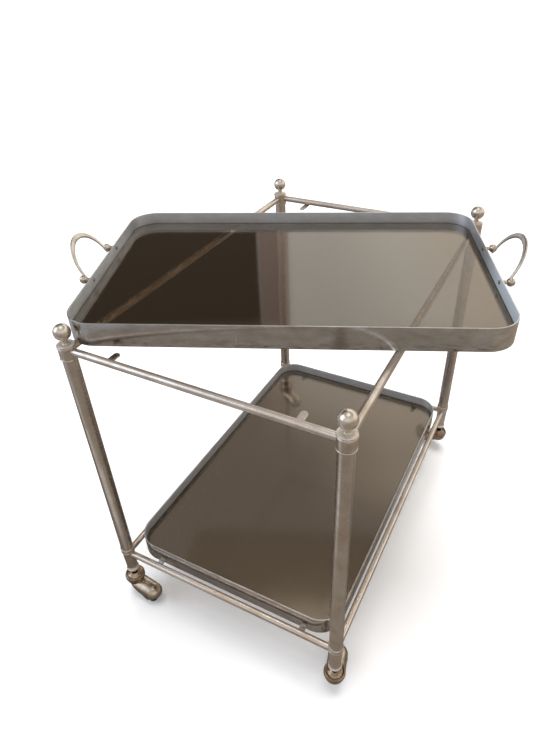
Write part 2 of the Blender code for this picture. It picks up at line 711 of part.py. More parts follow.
def handle_mesh():
    """Crescent strap in its own plane: width along Y, rise along Z, thickness along X."""
    flare_share = HANDLE_FOOT_HALF_WIDTH / HANDLE_HALF_WIDTH - 1
    corner_share = 0.28
    flare_power = 10

    def centre_line(angle):
        spread = math.cos(angle)
        flare = 1 + flare_share * abs(spread) ** flare_power
        return -HANDLE_HALF_WIDTH * spread * flare, HANDLE_RISE * math.sin(angle)

    stations = [(-HANDLE_FOOT_HALF_WIDTH, -HANDLE_TAIL, -1, 0, 0)]
    for step in range(HANDLE_STEPS + 1):
        angle = math.pi * step / HANDLE_STEPS
        y, z = centre_line(angle)
        normal = math.atan2(math.sin(angle) * HANDLE_HALF_WIDTH, -math.cos(angle) * HANDLE_RISE)
        stations.append((y, z, math.cos(normal), math.sin(normal), math.sin(angle)))
    stations.append((HANDLE_FOOT_HALF_WIDTH, -HANDLE_TAIL, 1, 0, 0))
    rings = []
    for y, z, normal_y, normal_z, swell in stations:
        half_width = (HANDLE_STRAP_END_WIDTH + (HANDLE_STRAP_WIDTH - HANDLE_STRAP_END_WIDTH) * swell) / 2
        half_thick = HANDLE_STRAP_THICKNESS * swell + HANDLE_STRAP_END_THICKNESS * (1 - swell)
        half_thick = half_thick / 2
        corner = half_thick * 2 * corner_share
        inner = half_width - corner
        flat = half_thick - corner
        section = [
            (half_width, flat),
            (inner, half_thick),
            (-inner, half_thick),
            (-half_width, flat),
            (-half_width, -flat),
            (-inner, -half_thick),
            (inner, -half_thick),
            (half_width, -flat),
        ]
        rings.append([(thick, y + normal_y * wide, z + normal_z * wide) for wide, thick in section])
    return lofted("handle", rings)


def knob_mesh():
    """Ball knob on a stem along X, slotted on its -Y side for the strap's end and bored for its screw."""
    ball = KNOB_DIAMETER / 2
    stem = KNOB_STEM_DIAMETER / 2
    foot = KNOB_FOOT_DIAMETER / 2
    base = -KNOB_STANDOFF + FIT_GAP
    bore = SCREW_DIAMETER / 2 + FIT_GAP
    bore_end = -KNOB_STANDOFF + SCREW_GRIP + FIT_GAP
    outline = [
        (0, bore_end),
        (bore, bore_end),
        (bore, base),
        (foot, base),
        (foot, base + KNOB_FOOT_THICKNESS / 2),
        (stem, base + KNOB_FOOT_THICKNESS),
    ]
    start = -math.acos(stem / ball)
    for step in range(KNOB_STEPS):
        angle = start + (math.pi / 2 - start) * step / KNOB_STEPS
        outline.append((ball * math.cos(angle), ball * math.sin(angle)))
    outline.append((0, ball))
    knob = moved(turned("handle_knob", outline, KNOB_SIDES), OUTWARDS)

    half_thick = HANDLE_STRAP_END_THICKNESS / 2 + FIT_GAP
    strap_middle = HANDLE_FOOT_HALF_WIDTH - KNOB_HALF_SPACING
    deep = strap_middle + HANDLE_STRAP_END_WIDTH / 2 + FIT_GAP
    floor = -HANDLE_TAIL - FIT_GAP
    plan = [(-half_thick, -KNOB_DIAMETER), (half_thick, -KNOB_DIAMETER), (half_thick, deep), (-half_thick, deep)]
    slot = lofted("slot", [[(x, y, level) for x, y in plan] for level in (floor, KNOB_DIAMETER)])
    return carved(knob, [moved(slot, Matrix.Rotation(HANDLE_LEAN, 4, "Y"))])


def screw_mesh():
    """Domed screw along X, from inside the rim into a knob, with its zero at the rim's outer face."""
    shank = SCREW_DIAMETER / 2
    head = SCREW_HEAD_DIAMETER / 2
    seat = -TRAY_STRIP - FIT_GAP
    dome_share = 0.55
    outline = [
        (0, seat - SCREW_HEAD_HEIGHT),
        (head * dome_share, seat - SCREW_HEAD_HEIGHT),
        (head, seat - SCREW_HEAD_HEIGHT * (1 - dome_share)),
        (head, seat),
        (shank, seat),
        (shank, SCREW_GRIP),
        (0, SCREW_GRIP),
    ]
    return moved(turned("handle_screw", outline, SCREW_SIDES), OUTWARDS)


def build_handles(serving):
    """At each end of the serving tray a crescent strap between two knobs, with their screws."""
    handle_finish = finish("handle nickel", (0.44, 0.37, 0.28), 0.26, 1.0)
    strap = handle_mesh()
    knob = knob_mesh()
    knobs = {1: knob, -1: moved(knob, Matrix.Diagonal((1, -1, 1, 1)))}
    screw = screw_mesh()
    face = TRAY_LENGTH / 2
    foot = face + KNOB_STANDOFF
    for end, turn, way in (("right", 0, 1), ("left", math.pi, -1)):
        lean = Matrix.Rotation(turn, 4, "Z") @ Matrix.Rotation(HANDLE_LEAN, 4, "Y")
        piece("handle_" + end, strap, handle_finish, serving, (way * foot, 0, KNOB_HEIGHT), lean.to_euler())
        for side, mesh in knobs.items():
            across = way * side * KNOB_HALF_SPACING
            name = end + ("_rear" if across > 0 else "_front")
            turned_out = (0, 0, turn)
            piece("handle_knob_" + name, mesh, handle_finish, serving, (way * foot, across, KNOB_HEIGHT), turned_out)
            piece("handle_screw_" + name, screw, handle_finish, serving, (way * face, across, KNOB_HEIGHT), turned_out)


def serving_tray_place():
    """Middle of the serving tray, seen from the middle of the posts, with its corner at the finial."""
    reach = TRAY_CORNER_RADIUS + SERVING_TRAY_CLEARANCE + FINIAL_BALL_DIAMETER / 2
    along = TRAY_LENGTH / 2 - TRAY_CORNER_RADIUS + reach * math.cos(SERVING_TRAY_CORNER_WAY)
    across = TRAY_WIDTH / 2 - TRAY_CORNER_RADIUS + reach * math.sin(SERVING_TRAY_CORNER_WAY)
    turn_cos = math.cos(SERVING_TRAY_TURN)
    turn_sin = math.sin(SERVING_TRAY_TURN)
    x = along * turn_cos - across * turn_sin - POST_SPACING_X / 2
    y = along * turn_sin + across * turn_cos - POST_SPACING_Y / 2
    return x, y


def build_trays(cart):
    """Lower tray on the lower tabs, and the serving tray askew on the upper rails."""
    rim_finish = finish("rim metal", (0.16, 0.15, 0.14), 0.36, 1.0)
    glass_finish = finish("smoked glass", (0.20, 0.16, 0.13), 0.06, 0.0)

    lower = empty("lower_tray", (0, 0, LOWER_TRAY_BOTTOM), math.pi / 2, cart)
    piece("lower_tray_rim", rim_mesh("lower_tray_rim"), rim_finish, lower)
    piece("lower_tray_glass", glass_mesh("lower_tray_glass"), glass_finish, lower)

    spot = (*serving_tray_place(), SERVING_TRAY_BOTTOM)
    serving = empty("serving_tray", spot, SERVING_TRAY_TURN, cart)
    rim = carved(rim_mesh("serving_tray_rim"), screw_hole_cutters())
    piece("serving_tray_rim", rim, rim_finish, serving)
    piece("serving_tray_glass", glass_mesh("serving_tray_glass"), glass_finish, serving)
    build_handles(serving)


def middle_of_box():
    """Where the middle of the cart's box lies, seen from the middle of its four posts.

    Along X the serving tray reaches past the frame at both ends, so its own middle counts. Along Y
    the casters reach furthest.
    """
    lows = []
    highs = []
    for corner, (side_x, side_y, turns) in CORNERS.items():
        axis_y = side_y * POST_SPACING_Y / 2
        rear_y = HOOD_REAR_TRAIL * math.sin(CASTER_HEADINGS[corner])
        lows.append(axis_y + min(-CUP_DIAMETER / 2, rear_y - HOOD_RADIUS))
        highs.append(axis_y + max(CUP_DIAMETER / 2, rear_y + HOOD_RADIUS))
    tray_x, tray_y = serving_tray_place()
    return tray_x, (min(lows) + max(highs)) / 2


clear_scene()
middle_x, middle_y = middle_of_box()
cart = empty("cart", (-middle_x, -middle_y, 0))
build_frame(cart)
build_casters(cart)
build_trays(cart)
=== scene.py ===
"""Looks of a two-tier bar cart: nickelled tube frame, smoked glass trays, hooded swivel casters.

Every length is in metres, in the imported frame: +Z up, X along the short side, Y along the long side.
"""

import math

import bmesh
import bpy
from mathutils import Matrix, Vector


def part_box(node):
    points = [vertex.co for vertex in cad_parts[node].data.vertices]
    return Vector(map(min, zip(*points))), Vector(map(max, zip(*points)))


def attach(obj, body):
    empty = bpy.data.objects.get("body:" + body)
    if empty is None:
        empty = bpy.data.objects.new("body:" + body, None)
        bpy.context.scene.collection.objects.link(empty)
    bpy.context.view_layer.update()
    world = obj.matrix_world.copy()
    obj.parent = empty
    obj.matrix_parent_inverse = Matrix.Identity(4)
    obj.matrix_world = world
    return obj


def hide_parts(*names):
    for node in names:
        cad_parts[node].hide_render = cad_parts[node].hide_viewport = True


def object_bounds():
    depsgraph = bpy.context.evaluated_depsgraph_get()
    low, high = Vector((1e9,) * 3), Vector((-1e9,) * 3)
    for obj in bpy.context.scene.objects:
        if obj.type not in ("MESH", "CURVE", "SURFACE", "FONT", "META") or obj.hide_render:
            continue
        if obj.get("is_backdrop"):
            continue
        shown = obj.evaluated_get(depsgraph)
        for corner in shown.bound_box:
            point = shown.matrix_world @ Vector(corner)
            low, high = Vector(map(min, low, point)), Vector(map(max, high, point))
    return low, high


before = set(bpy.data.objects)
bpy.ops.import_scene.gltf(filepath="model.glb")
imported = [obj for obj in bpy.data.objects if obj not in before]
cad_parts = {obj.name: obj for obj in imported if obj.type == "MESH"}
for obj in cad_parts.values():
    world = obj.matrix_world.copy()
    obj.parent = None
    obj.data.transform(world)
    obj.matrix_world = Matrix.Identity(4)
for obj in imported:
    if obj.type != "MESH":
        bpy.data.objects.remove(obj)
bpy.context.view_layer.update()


# Posts: four uprights of 25 mm drawn brass tube, nickel plated and hand polished. The plate has dulled
# to a warm satin, with brown tarnish in soft patches and fine polishing lines that run up the tube.
# Each one plugs into the fitting below it and carries the sleeve and finial above.

CORNERS = {"front_left": 0, "front_right": 1, "rear_right": 2, "rear_left": 3}
POST_RADIUS = 0.0125
POST_BORE_RADIUS = 0.011
POST_SIDES = 56
WELD = 0.000001
IN_COLOUR = {"data_type": "RGBA"}


def skinned(rings, ends="flat"):
    """Join each ring of points to the next. The ends are flat, open, or looped last to first."""
    bm = bmesh.new()
    loops = [[bm.verts.new(point) for point in ring] for ring in rings]
    pairs = list(zip(loops, loops[1:]))
    if ends == "looped":
        pairs.append((loops[-1], loops[0]))
    if ends == "flat":
        bm.faces.new(loops[0])
        bm.faces.new(loops[-1])
    for lower, upper in pairs:
        for index in range(len(lower)):
            follower = (index + 1) % len(lower)
            bm.faces.new((lower[index], lower[follower], upper[follower], upper[index]))
    return bm


def turned(outline, sides, closed=False):
    """Turn (radius, height) points about Z. An open outline starts and ends on the axis."""
    turns = [math.tau * side / sides for side in range(sides)]
    rings = [
        [(radius * math.cos(a), radius * math.sin(a), height) for a in turns] for radius, height in outline
    ]
    return skinned(rings, "looped" if closed else "open")


def smoothed(mesh, sharp=35.0):
    """Shade a mesh smooth, and keep the edges that turn by more than an angle in degrees."""
    mesh.shade_smooth()
    mesh.set_sharp_from_angle(angle=math.radians(sharp))
    return mesh


def in_scene(name, data):
    """A new object, linked to the scene."""
    thing = bpy.data.objects.new(name, data)
    bpy.context.scene.collection.objects.link(thing)
    return thing


def meshed(name, bm, sharp=35.0):
    """Weld the drawn shape, face it outwards and hand it over smooth, with its sharp edges kept."""
    bmesh.ops.remove_doubles(bm, verts=bm.verts, dist=WELD)
    bmesh.ops.recalc_face_normals(bm, faces=bm.faces)
    mesh = bpy.data.meshes.new(name)
    bm.to_mesh(mesh)
    bm.free()
    return smoothed(mesh, sharp)


def placed(mesh, *steps):
    """A copy of a mesh with its place worked into it, so that its object stays at the origin."""
    matrix = Matrix.Identity(4)
    for step in steps:
        matrix = matrix @ step
    copy = mesh.copy()
    copy.transform(matrix)
    if matrix.determinant() < 0:
        copy.flip_normals()
    return copy


def show(name, mesh, finish, body, slot, *nodes):
    """Put a finished mesh in the scene, in place of the nodes that it stands for."""
    part = in_scene(name, mesh)
    mesh.materials.clear()
    mesh.materials.append(finish)
    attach(part, body)
    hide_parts(*nodes)
    return part


def colour(code):
    """Turn an sRGB hex colour to the linear values that a shader takes."""
    channels = [int(code[place : place + 2], 16) / 255 for place in (1, 3, 5)]
    return tuple(c / 12.92 if c <= 0.04045 else ((c + 0.055) / 1.055) ** 2.4 for c in channels) + (1.0,)


def feed(tree, node, **inputs):
    """Fill a node's inputs, by name or by place. A socket is linked, and any other value is set.

    A node stands for the first of its outputs that is in use.
    """
    for key, value in inputs.items():
        if isinstance(value, bpy.types.Node):
            value = next(socket for socket in value.outputs if socket.enabled)
        socket = node.inputs[int(key[1:])] if key[0] == "_" else node.inputs[key.replace("_", " ")]
        if isinstance(value, bpy.types.NodeSocket):
            tree.links.new(value, socket)
        else:
            socket.default_value = value
    return node


def add(tree, kind, settings=None, **inputs):
    """Add a node with its settings, and fill its inputs."""
    node = tree.nodes.new(kind)
    for key, value in (settings or {}).items():
        setattr(node, key, value)
    return feed(tree, node, **inputs)


def new_finish(name):
    """A new material with its node tree and its shader."""
    material = bpy.data.materials.new(name)
    material.use_nodes = True
    tree = material.node_tree
    return material, tree, tree.nodes["Principled BSDF"]


def worn_nickel(name, bright, tarnish, polish, dulled, patch, grain, relief=0.00004):
    """Nickel plate, polished and then dulled: patches of tarnish, polishing lines and fine pits.

    polish and dulled are the roughness of the bright and of the tarnished plate, patch the size of a
    patch, and grain the stretch of the polishing lines along each axis.
    """
    material, tree, shader = new_finish(name)
    where = add(tree, "ShaderNodeTexCoord").outputs["Object"]
    patches = add(tree, "ShaderNodeTexNoise", Vector=where, Scale=1 / patch, Detail=5.0, Roughness=0.62)
    spread = add(tree, "ShaderNodeMapRange", Value=patches, From_Min=0.38, From_Max=0.66)
    stretched = add(tree, "ShaderNodeMapping", Vector=where, Scale=grain)
    lines = add(tree, "ShaderNodeTexNoise", Vector=stretched, Scale=1.0, Detail=3.0)
    # Pits are 0.3 to 0.6 mm across; they are drawn twice as coarse so that they show
    pits = add(tree, "ShaderNodeTexNoise", Vector=where, Scale=820.0, Detail=1.0)
    pitted = add(tree, "ShaderNodeMapRange", Value=pits, From_Min=0.68, From_Max=0.76)
    plate = add(tree, "ShaderNodeMix", IN_COLOUR, _0=spread, _6=colour(bright), _7=colour(tarnish))
    darker = add(
        tree,
        "ShaderNodeMix",
        {"data_type": "RGBA", "blend_type": "MULTIPLY"},
        _0=pitted,
        _6=plate,
        _7=colour("#8C7F70"),
    )
    dulling = add(
        tree, "ShaderNodeMapRange", Value=spread, From_Min=0.0, From_Max=1.0, To_Min=polish, To_Max=dulled
    )
    lined = add(
        tree, "ShaderNodeMapRange", Value=lines, From_Min=0.3, From_Max=0.7, To_Min=-0.05, To_Max=0.07
    )
    rough = add(tree, "ShaderNodeMath", {"operation": "ADD"}, _0=dulling, _1=lined)
    heights = add(tree, "ShaderNodeMath", {"operation": "SUBTRACT"}, _0=lines, _1=pitted)
    bump = add(tree, "ShaderNodeBump", Height=heights, Distance=relief, Strength=0.6)
    feed(tree, shader, Base_Color=darker, Roughness=rough, Normal=bump, Metallic=1.0)
    return material


post_nickel = worn_nickel(
    "dulled nickel plate, lines up the tube", "#CFC8C3", "#BCB0A6", 0.20, 0.30, 0.040, (900.0, 900.0, 14.0)
)
axis_of = {}
for corner in CORNERS:
    low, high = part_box("post_" + corner)
    axis_of[corner] = Matrix.Translation(((low.x + high.x) / 2, (low.y + high.y) / 2, 0))
    wall = [
        (POST_BORE_RADIUS, low.z), (POST_RADIUS, low.z), (POST_RADIUS, high.z), (POST_BORE_RADIUS, high.z)
    ]
    tube = meshed("post", turned(wall, POST_SIDES, closed=True))
    show(
        "post_tube_" + corner,
        placed(tube, axis_of[corner]),
        post_nickel,
        "frame",
        "tube_nickel",
        "post_" + corner,
    )


# Upper fittings: a cast and turned brass sleeve soldered round each post's top, nickel plated, with a
# half-round bead at its foot and a rolled lip at its mouth. The rails end in its two sockets.

SLEEVE_RADIUS = 0.0143
SLEEVE_BEAD_RADIUS = 0.0149
SLEEVE_BEAD_HEIGHT = 0.003
SLEEVE_LIP_RADIUS = 0.0150
SLEEVE_LIP_HEIGHT = 0.0024
SLEEVE_BORE_RADIUS = 0.0128
BEAD_STEPS = 7
BEAD_GROOVE = 0.0006


def bead(radius, inner, low, height):
    """A half-round ring that stands out of a turned body, from its low edge up."""
    points = []
    for step in range(BEAD_STEPS + 1):
        angle = math.pi * (step / BEAD_STEPS - 0.5)
        points.append(
            (inner + (radius - inner) * math.cos(angle), low + height / 2 * (1 + math.sin(angle)))
        )
    return points


fitting_nickel = worn_nickel(
    "nickel plate on turned brass", "#D2CAC2", "#BAAC9F", 0.24, 0.36, 0.016, (260.0, 260.0, 1600.0)
)
for corner in CORNERS:
    low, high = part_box("upper_fitting_" + corner)
    groove = SLEEVE_RADIUS - BEAD_GROOVE
    outline = [(SLEEVE_BORE_RADIUS, low.z)]
    outline += bead(SLEEVE_BEAD_RADIUS, groove, low.z, SLEEVE_BEAD_HEIGHT)
    outline += [(SLEEVE_RADIUS, low.z + SLEEVE_BEAD_HEIGHT + BEAD_GROOVE)]
    outline += [(SLEEVE_RADIUS, high.z - SLEEVE_LIP_HEIGHT - BEAD_GROOVE)]
    outline += bead(SLEEVE_LIP_RADIUS, groove, high.z - SLEEVE_LIP_HEIGHT, SLEEVE_LIP_HEIGHT)
    outline += [(SLEEVE_BORE_RADIUS, high.z)]
    sleeve = meshed("upper_fitting", turned(outline, POST_SIDES, closed=True))
    node = "upper_fitting_" + corner
    show(
        "sleeve_" + corner, placed(sleeve, axis_of[corner]), fitting_nickel, "frame", "fitting_nickel", node
    )


# Finials: plug, low domed cap, waisted neck and 28 mm ball, turned from one brass bar and nickel
# plated. Hands have kept the balls brighter than the rest, so they mirror the room. The caps are
# drawn less metallic and rougher than the balls, which is painted light.

CAP_RADIUS = 0.0144
CAP_HEIGHT = 0.0018
CAP_RISE = 0.0008
CAP_FOOT_RADIUS = CAP_RADIUS * 0.9
CAP_EDGE_RADIUS = CAP_RADIUS * 0.955
CAP_FACE = [(0.92, -0.50), (0.88, -0.125), (0.66, 0.55), (0.44, 0.93)]
NECK_RADIUS = 0.0044
NECK_FLARE = 0.0012
NECK_FLARE_HEIGHT = 0.0017
NECK_STEPS = 5
BALL_RADIUS = 0.0140
PLUG_RADIUS = 0.0107
PLUG_LENGTH = 0.010
BALL_STEPS = 26
FIT_GAP = 0.0003


def ball_points(radius, neck, centre, steps):
    """Points of a ball's outline from where its neck meets it to its top."""
    start = -math.acos(neck / radius)
    points = []
    for step in range(steps):
        angle = start + (math.pi / 2 - start) * step / steps
        points.append((radius * math.cos(angle), centre + radius * math.sin(angle)))
    return points + [(0, centre + radius)]


def painted_light_below(material, level, painted_light_metal, rougher=0.0, pale=None):
    """Draw a finish less metallic, and rougher or paler, below a height.

    It is painted light: it stands in for the soft light that fell there, not for another metal.
    """
    tree = material.node_tree
    shader = tree.nodes["Principled BSDF"]
    place = add(tree, "ShaderNodeSeparateXYZ", Vector=add(tree, "ShaderNodeTexCoord").outputs["Object"])
    below = add(tree, "ShaderNodeMath", {"operation": "LESS_THAN"}, _0=place.outputs["Z"], _1=level)
    metal = add(tree, "ShaderNodeMath", {"operation": "MULTIPLY_ADD"}, _0=below, _1=-painted_light_metal, _2=1.0)
    was_rough = shader.inputs["Roughness"].links[0].from_socket
    rough = add(tree, "ShaderNodeMath", {"operation": "MULTIPLY_ADD"}, _0=below, _1=rougher, _2=was_rough)
    feed(tree, shader, Metallic=metal, Roughness=rough)
    if pale:
        plated = shader.inputs["Base Color"].links[0].from_socket
        mixed = add(tree, "ShaderNodeMix", IN_COLOUR, _0=below, _6=plated, _7=colour(pale))
        feed(tree, shader, Base_Color=mixed)


finial_nickel = worn_nickel(
    "bright nickel plate, handled", "#DED7CE", "#C4B8AA", 0.20, 0.28, 0.012, (420.0, 420.0, 420.0), 0.00001
)
cap_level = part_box("finial_front_left")[0].z + PLUG_LENGTH + CAP_HEIGHT + 2 * CAP_RISE
# Below the top of the cap the finish is drawn less metallic and rougher: painted light on the caps.
painted_light_below(finial_nickel, cap_level, 0.5, rougher=0.22)
for corner in CORNERS:
    low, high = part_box("finial_" + corner)
    cap_low = low.z + PLUG_LENGTH + FIT_GAP
    cap_high = cap_low + CAP_HEIGHT
    outline = [(0, low.z), (PLUG_RADIUS, low.z), (PLUG_RADIUS, cap_low), (CAP_FOOT_RADIUS, cap_low)]
    outline += bead(CAP_RADIUS, CAP_EDGE_RADIUS, cap_low, CAP_HEIGHT)
    outline += [(CAP_RADIUS * out, cap_high + CAP_RISE * rise) for out, rise in CAP_FACE]
    for step in range(NECK_STEPS + 1):
        share = step / NECK_STEPS
        flare = NECK_FLARE * (1 - share) ** 2.4
        outline.append((NECK_RADIUS + flare, cap_high + CAP_RISE + NECK_FLARE_HEIGHT * share))
    centre = high.z - BALL_RADIUS
    outline += ball_points(BALL_RADIUS, NECK_RADIUS, centre, BALL_STEPS)
    finial = meshed("finial", turned(outline, POST_SIDES))
    node = "finial_" + corner
    show(
        "ball_finial_" + corner,
        placed(finial, axis_of[corner]),
        finial_nickel,
        "frame",
        "fitting_nickel",
        node,
    )


# Lower fittings: a turned brass plug below each post, nickel plated. A head with two beads takes the
# post's foot, the body tapers to a collar whose lower half is drawn pale and bright as painted light,
# and the rails and the caster's pin end inside it.

HEAD_RADIUS = 0.0138
HEAD_BEAD_RADIUS = 0.0143
HEAD_BEAD_HEIGHT = 0.0022
POST_SEAT_RADIUS = 0.0128
BODY_TOP_RADIUS = 0.0130
BODY_FOOT_RADIUS = 0.0114
COLLAR_RADIUS = 0.0130
COLLAR_SKIRT = 0.0008
COLLAR_BORE_RADIUS = 0.0070
COLLAR_HEIGHT = 0.010
COLLAR_GROOVE = 0.0011
COLLAR_EDGE = [(0.0012, 0.0), (0.0003, 0.0004), (0.0, 0.0012)]
COLLAR_SLOPE = [(0.0, 0.0068), (0.0003, 0.0058), (0.0010, 0.0046), (0.0018, 0.0034), (0.0026, 0.0020)]
COLLAR_PAINTED_LIGHT_HEIGHT = 0.0052
HEAD_NECK = 0.0008
PIN_BORE_RADIUS = 0.0053
PIN_BORE_DEPTH = 0.0223

# The lower half of each collar is drawn paler and less metallic: painted light, for the soft light that
# fell there.
collar_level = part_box("lower_fitting_front_left")[0].z + COLLAR_PAINTED_LIGHT_HEIGHT
painted_light_below(fitting_nickel, collar_level, 0.6, pale="#EDE9E2")
for corner in CORNERS:
    low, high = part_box("lower_fitting_" + corner)
    seat_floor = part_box("post_" + corner)[0].z - FIT_GAP
    head_low = seat_floor - HEAD_BEAD_HEIGHT
    collar_top = low.z + COLLAR_HEIGHT
    groove = HEAD_RADIUS - BEAD_GROOVE
    foot = low.z - COLLAR_SKIRT
    outline = [
        (0, low.z + PIN_BORE_DEPTH), (PIN_BORE_RADIUS, low.z + PIN_BORE_DEPTH), (PIN_BORE_RADIUS, low.z)
    ]
    outline += [(COLLAR_BORE_RADIUS, low.z), (COLLAR_BORE_RADIUS, foot)]
    outline += [(COLLAR_RADIUS - inset, foot + above) for inset, above in COLLAR_EDGE]
    outline += [(COLLAR_RADIUS - inset, collar_top - below) for inset, below in COLLAR_SLOPE]
    outline += [
        (BODY_FOOT_RADIUS - COLLAR_GROOVE, collar_top), (BODY_FOOT_RADIUS, collar_top + COLLAR_GROOVE)
    ]
    outline += [(BODY_TOP_RADIUS, head_low - HEAD_NECK), (groove, head_low)]
    outline += bead(HEAD_BEAD_RADIUS, groove, head_low, HEAD_BEAD_HEIGHT)
    outline += [(HEAD_RADIUS, head_low + HEAD_BEAD_HEIGHT + BEAD_GROOVE)]
    outline += [(HEAD_RADIUS, high.z - HEAD_BEAD_HEIGHT - BEAD_GROOVE)]
    outline += bead(HEAD_BEAD_RADIUS, groove, high.z - HEAD_BEAD_HEIGHT, HEAD_BEAD_HEIGHT)
    outline += [(POST_SEAT_RADIUS, high.z), (POST_SEAT_RADIUS, seat_floor), (0, seat_floor)]
    plug = meshed("lower_fitting", turned(outline, POST_SIDES))
    node = "lower_fitting_" + corner
    show(
        "foot_fitting_" + corner,
        placed(plug, axis_of[corner]),
        fitting_nickel,
        "frame",
        "fitting_nickel",
        node,
    )


# Long rails: two upper and two lower rails of 13 mm nickelled tube, let into the fittings along the
# long sides. The upper pair carries the serving tray.

RAIL_RADIUS = 0.0065
RAIL_WALL = 0.0012
RAIL_SIDES = 40

long_rail_nickel = worn_nickel(
    "dulled nickel plate, lines along the long rails",
    "#D8D0CA",
    "#C0B3A7",
    0.22,
    0.32,
    0.040,
    (1100.0, 16.0, 1100.0),
)


def rail_tube(half):
    """A tube along Z, open at both ends."""
    bore = RAIL_RADIUS - RAIL_WALL
    return turned(
        [(bore, -half), (RAIL_RADIUS, -half), (RAIL_RADIUS, half), (bore, half)], RAIL_SIDES, closed=True
    )


for tier in ("upper", "lower"):
    for side in ("left", "right"):
        node = tier + "_rail_" + side
        low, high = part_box(node)
        rail = meshed("long_rail", rail_tube((high.y - low.y) / 2))
        middle = Matrix.Translation((low + high) / 2)
        laid = placed(rail, middle, Matrix.Rotation(math.pi / 2, 4, "X"))
        show(tier + "_long_rail_" + side, laid, long_rail_nickel, "frame", "tube_nickel", node)


# Short rails: the same tube across both ends, each with two flat round-ended tongues brazed below it.
# The lower tongues carry the bottom tray.

TAB_SPACING = 0.330
TAB_WIDTH = 0.012
TAB_THICKNESS = 0.0028
TAB_REACH = 0.035
TAB_HEEL = -0.001
TAB_BRAZE_DEPTH = 0.0004
TAB_EDGE_ROUND = 0.0006
TAB_END_STEPS = 20

short_rail_nickel = worn_nickel(
    "dulled nickel plate, lines along the short rails",
    "#D8D0CA",
    "#C0B3A7",
    0.22,
    0.32,
    0.040,
    (16.0, 1100.0, 1100.0),
)


def tongue_ring(inset, level):
    """Plan of a tongue at one level, with its round end towards +Y."""
    half = TAB_WIDTH / 2
    ring = [(-half + inset, -TAB_HEEL, level), (half - inset, -TAB_HEEL, level)]
    for step in range(TAB_END_STEPS + 1):
        angle = math.pi * step / TAB_END_STEPS
        reach = half - inset
        ring.append((reach * math.cos(angle), TAB_REACH - half + reach * math.sin(angle), level))
    return ring


for tier in ("upper", "lower"):
    for end, turn in (("front", 0.0), ("rear", math.pi)):
        node = tier + "_rail_" + end
        low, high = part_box(node)
        # The tongues reach inwards, so the rail's own middle is taken from its outer side
        middle_y = low.y + RAIL_RADIUS if end == "front" else high.y - RAIL_RADIUS
        bm = rail_tube((high.x - low.x) / 2)
        bmesh.ops.rotate(bm, verts=bm.verts, cent=(0, 0, 0), matrix=Matrix.Rotation(math.pi / 2, 3, "Y"))
        rail = meshed("short_rail", bm)
        top = -RAIL_RADIUS + TAB_BRAZE_DEPTH
        section = [(TAB_EDGE_ROUND, top - TAB_THICKNESS), (0.0, top - TAB_THICKNESS + TAB_EDGE_ROUND)]
        section += [(0.0, top - TAB_EDGE_ROUND), (TAB_EDGE_ROUND, top)]
        tongue = meshed("tongue", skinned([tongue_ring(inset, level) for inset, level in section]))
        joined = bmesh.new()
        joined.from_mesh(rail)
        for side in (-1, 1):
            joined.from_mesh(placed(tongue, Matrix.Translation((side * TAB_SPACING / 2, 0, 0))))
        mesh = bpy.data.meshes.new("short_rail_with_tongues")
        joined.to_mesh(mesh)
        joined.free()
        smoothed(mesh, 40.0)
        middle = Matrix.Translation(((low.x + high.x) / 2, middle_y, high.z - RAIL_RADIUS))
        laid = placed(mesh, middle, Matrix.Rotation(turn, 4, "Z"))
        show(tier + "_short_rail_" + end, laid, short_rail_nickel, "frame", "tube_nickel", node)


# Caster pins: a turned steel pin pressed into each lower fitting, left bare and greasy, and drawn near
# black, which is painted shade for the gap under the collar. The caster's cup turns on its shoulder and
# a riveted head below holds it on.

PIN_SIDES = 32
PIN_SHANK_RADIUS = 0.005
PIN_BODY_RADIUS = 0.0065
PIN_TAIL_RADIUS = 0.004
PIN_HEAD_RADIUS = 0.006
PIN_HEAD_HEIGHT = 0.002
PIN_HEAD_FACE = 0.7
PIN_SHANK_LENGTH = 0.022
# Heights above the floor
CUP_BOTTOM = 0.034
CUP_BOSS_TOP = 0.050
FITTING_BOTTOM = 0.077

pin_steel, tree, shader = new_finish("greasy bare steel, darkened as painted shade")
where = add(tree, "ShaderNodeTexCoord").outputs["Object"]
grease = add(tree, "ShaderNodeTexNoise", Vector=where, Scale=260.0, Detail=4.0)
# Both tones are near black, which is painted shade for the gap under the collar; the noise mottles them
# like grease.
shade = add(tree, "ShaderNodeMix", IN_COLOUR, _0=grease, _6=colour("#3B342E"), _7=colour("#201C19"))
dull = add(tree, "ShaderNodeMapRange", Value=grease, To_Min=0.30, To_Max=0.62)
feed(tree, shader, Base_Color=shade, Roughness=dull, Metallic=1.0)

head_top = CUP_BOTTOM - FIT_GAP
outline = [(0, head_top - PIN_HEAD_HEIGHT), (PIN_HEAD_RADIUS * PIN_HEAD_FACE, head_top - PIN_HEAD_HEIGHT)]
outline += [
    (PIN_HEAD_RADIUS, head_top - PIN_HEAD_HEIGHT / 2),
    (PIN_HEAD_RADIUS, head_top),
    (PIN_TAIL_RADIUS, head_top),
]
outline += [(PIN_TAIL_RADIUS, CUP_BOSS_TOP + FIT_GAP), (PIN_BODY_RADIUS, CUP_BOSS_TOP + FIT_GAP)]
outline += [(PIN_BODY_RADIUS, FITTING_BOTTOM - FIT_GAP), (PIN_SHANK_RADIUS, FITTING_BOTTOM - FIT_GAP)]
outline += [(PIN_SHANK_RADIUS, FITTING_BOTTOM + PIN_SHANK_LENGTH), (0, FITTING_BOTTOM + PIN_SHANK_LENGTH)]
pin = meshed("caster_pin", turned(outline, PIN_SIDES))
for corner in CORNERS:
    node = "caster_pintle_" + corner
    show("caster_pin_" + corner, placed(pin, axis_of[corner]), pin_steel, "frame", "pintle_steel", node)


# Caster cups: a spun brass dish, bronze plated, that sits on each hood and turns on the pin. Its lip is
# rolled over a shallow groove, and a low boss stands in it round the pin. Rubbing has left it uneven.

